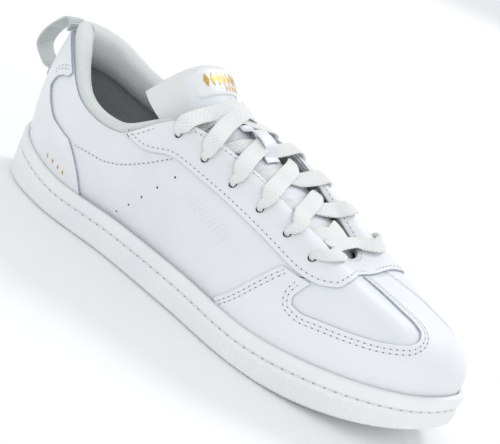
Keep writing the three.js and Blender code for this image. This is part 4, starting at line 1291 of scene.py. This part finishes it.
# Marks on the leather -------------------------------------------------------------------------
# Four small gold lozenges on the lateral side of the heel, and a raised device of slanted bars pressed into the
# lateral quarter below the eyelets. Both are plain patterns.
def skin_lozenges(name, spots, offset, along, across, lean, finish):
    places = []
    for s, t in spots:
        flat = np.array([[s, t]])
        around, _, normal = skin_axes(flat[:, 0], flat[:, 1])
        first = unit(around)[0]
        second = np.cross(normal[0], first)
        turned = first * math.cos(lean) + second * math.sin(lean)
        square = second * math.cos(lean) - first * math.sin(lean)
        places.append((on_skin(flat, offset)[0], turned, square, normal[0]))
    piece = lozenges(name, places, along, across)
    piece.data.materials.append(finish)
    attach(piece, "shoe")
    return piece


heel_spots = [(0.109, 0.13), (0.118, 0.142), (0.126, 0.138), (0.1325, 0.125)]
skin_lozenges("heel_lozenges", heel_spots, heel_cover_top, 0.9, 1.6, 0.2, foil)


def pressed_bars(name, spots, lean, length, width, finish):
    """Soft-edged raised bars on the skin."""
    vertices, faces = [], []
    for s, t, stretch in spots:
        base = len(vertices)
        angle = np.linspace(0, 2 * np.pi, 24, endpoint=False)
        bar = np.stack([np.sign(np.cos(angle)) * np.abs(np.cos(angle)) ** 0.45 * length * stretch,
                        np.sign(np.sin(angle)) * np.abs(np.sin(angle)) ** 0.7 * width], -1)
        turned = bar @ np.array([[math.cos(lean), math.sin(lean)], [-math.sin(lean), math.cos(lean)]])
        for size, rise in ((1.15, -0.05), (1, 0.3), (0.8, 0.55), (0.5, 0.62)):
            centre = np.repeat([[s, t]], 24, 0)
            around, _, normal = skin_axes(centre[:, 0], centre[:, 1])
            first = unit(around)
            move = first * turned[:, :1] * size + np.cross(normal, first) * turned[:, 1:] * size
            vertices += list(on_skin(step_on_skin(centre, move), rise))
        for ring in (0, 24, 48):
            for i in range(24):
                j = (i + 1) % 24
                faces.append([base + ring + i, base + ring + j, base + ring + 24 + j, base + ring + 24 + i])
        faces.append([base + 72 + i for i in range(24)])
        faces.append([base + i for i in range(23, -1, -1)])
    piece = new_piece(name, np.array(vertices), faces, sharp=70)
    piece.data.materials.append(finish)
    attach(piece, "shoe")
    return piece


bar_places = [(0.2535 + 0.0054 * i, 0.492 - 0.0165 * i, 1 + 0.25 * (i % 2)) for i in range(7)]
pressed_bars("pressed_device", bar_places, 1.05, 3.4, 1.0, quarter_leather)


# Studio ---------------------------------------------------------------------------------------
# A plain white floor, a broad key over the medial side, a soft fill from the front, and a white surround.
for leftover in ("Cube", "Light", "Camera"):
    if leftover in bpy.data.objects:
        bpy.data.objects.remove(bpy.data.objects[leftover])

bpy.ops.mesh.primitive_plane_add(size=60, location=(0, 0, -0.0002))
floor = bpy.context.object
floor.name = "studio_floor"
floor_finish, floor_tree, floor_shader = finish_recipe("studio floor", (0.93, 0.935, 0.93), 0.7)
floor_cloud = texture(floor_tree, "ShaderNodeTexNoise", "Object", Scale=1.5, Detail=2)
tint(floor_tree, floor_shader, floor_cloud.outputs[0], (0.93, 0.935, 0.925), (0.945, 0.945, 0.94))
floor.data.materials.append(floor_finish)

world = bpy.data.worlds.new("white surround")
world.use_nodes = True
world.node_tree.nodes["Background"].inputs["Color"].default_value = (0.955, 0.975, 1, 1)
world.node_tree.nodes["Background"].inputs["Strength"].default_value = 0.9
bpy.context.scene.world = world


def soft_light(name, place, aim, size, power, color=(1, 1, 1)):
    data = bpy.data.lights.new(name, "AREA")
    data.shape = "DISK"
    data.size = size
    data.energy = power
    data.color = color
    light = bpy.data.objects.new(name, data)
    light.location = place
    light.rotation_euler = (Vector(aim) - Vector(place)).to_track_quat("-Z", "Y").to_euler()
    bpy.context.scene.collection.objects.link(light)


soft_light("key", (0.6, 4.2, 4.4), (0, 0, 0.04), 1.5, 95, (1, 0.99, 0.97))
soft_light("fill", (0.9, -1.2, 0.9), (0, 0, 0.04), 1.4, 2.2, (0.9, 0.95, 1))

# The camera stands low on the lateral side, ahead of the toe, and is rolled so that the toe points down.
azimuth, elevation, roll, distance = math.radians(26.09), math.radians(19.05), math.radians(24.77), 0.50344
flat_reach = math.cos(elevation)
towards = Vector((math.sin(azimuth) * flat_reach, -math.cos(azimuth) * flat_reach, math.sin(elevation)))
level = Vector((math.cos(azimuth), math.sin(azimuth), 0))
above = towards.cross(level)
right = level * math.cos(roll) + above * math.sin(roll)
up = above * math.cos(roll) - level * math.sin(roll)
target = Vector((150, 0, 45)) / 1000 + Vector(drawing_origin) / 1000
lens = bpy.data.cameras.new("camera")
lens.sensor_width = 36
lens.lens = 66.46536
lens.shift_x = 0.0337
lens.shift_y = -0.0075
lens.clip_start = 0.01
camera = bpy.data.objects.new("camera", lens)
facing = Matrix((right, up, towards)).transposed().to_4x4()
camera.matrix_world = Matrix.Translation(target + towards * distance) @ facing
bpy.context.scene.collection.objects.link(camera)
bpy.context.scene.camera = camera
bpy.context.scene.view_settings.view_transform = "Standard"
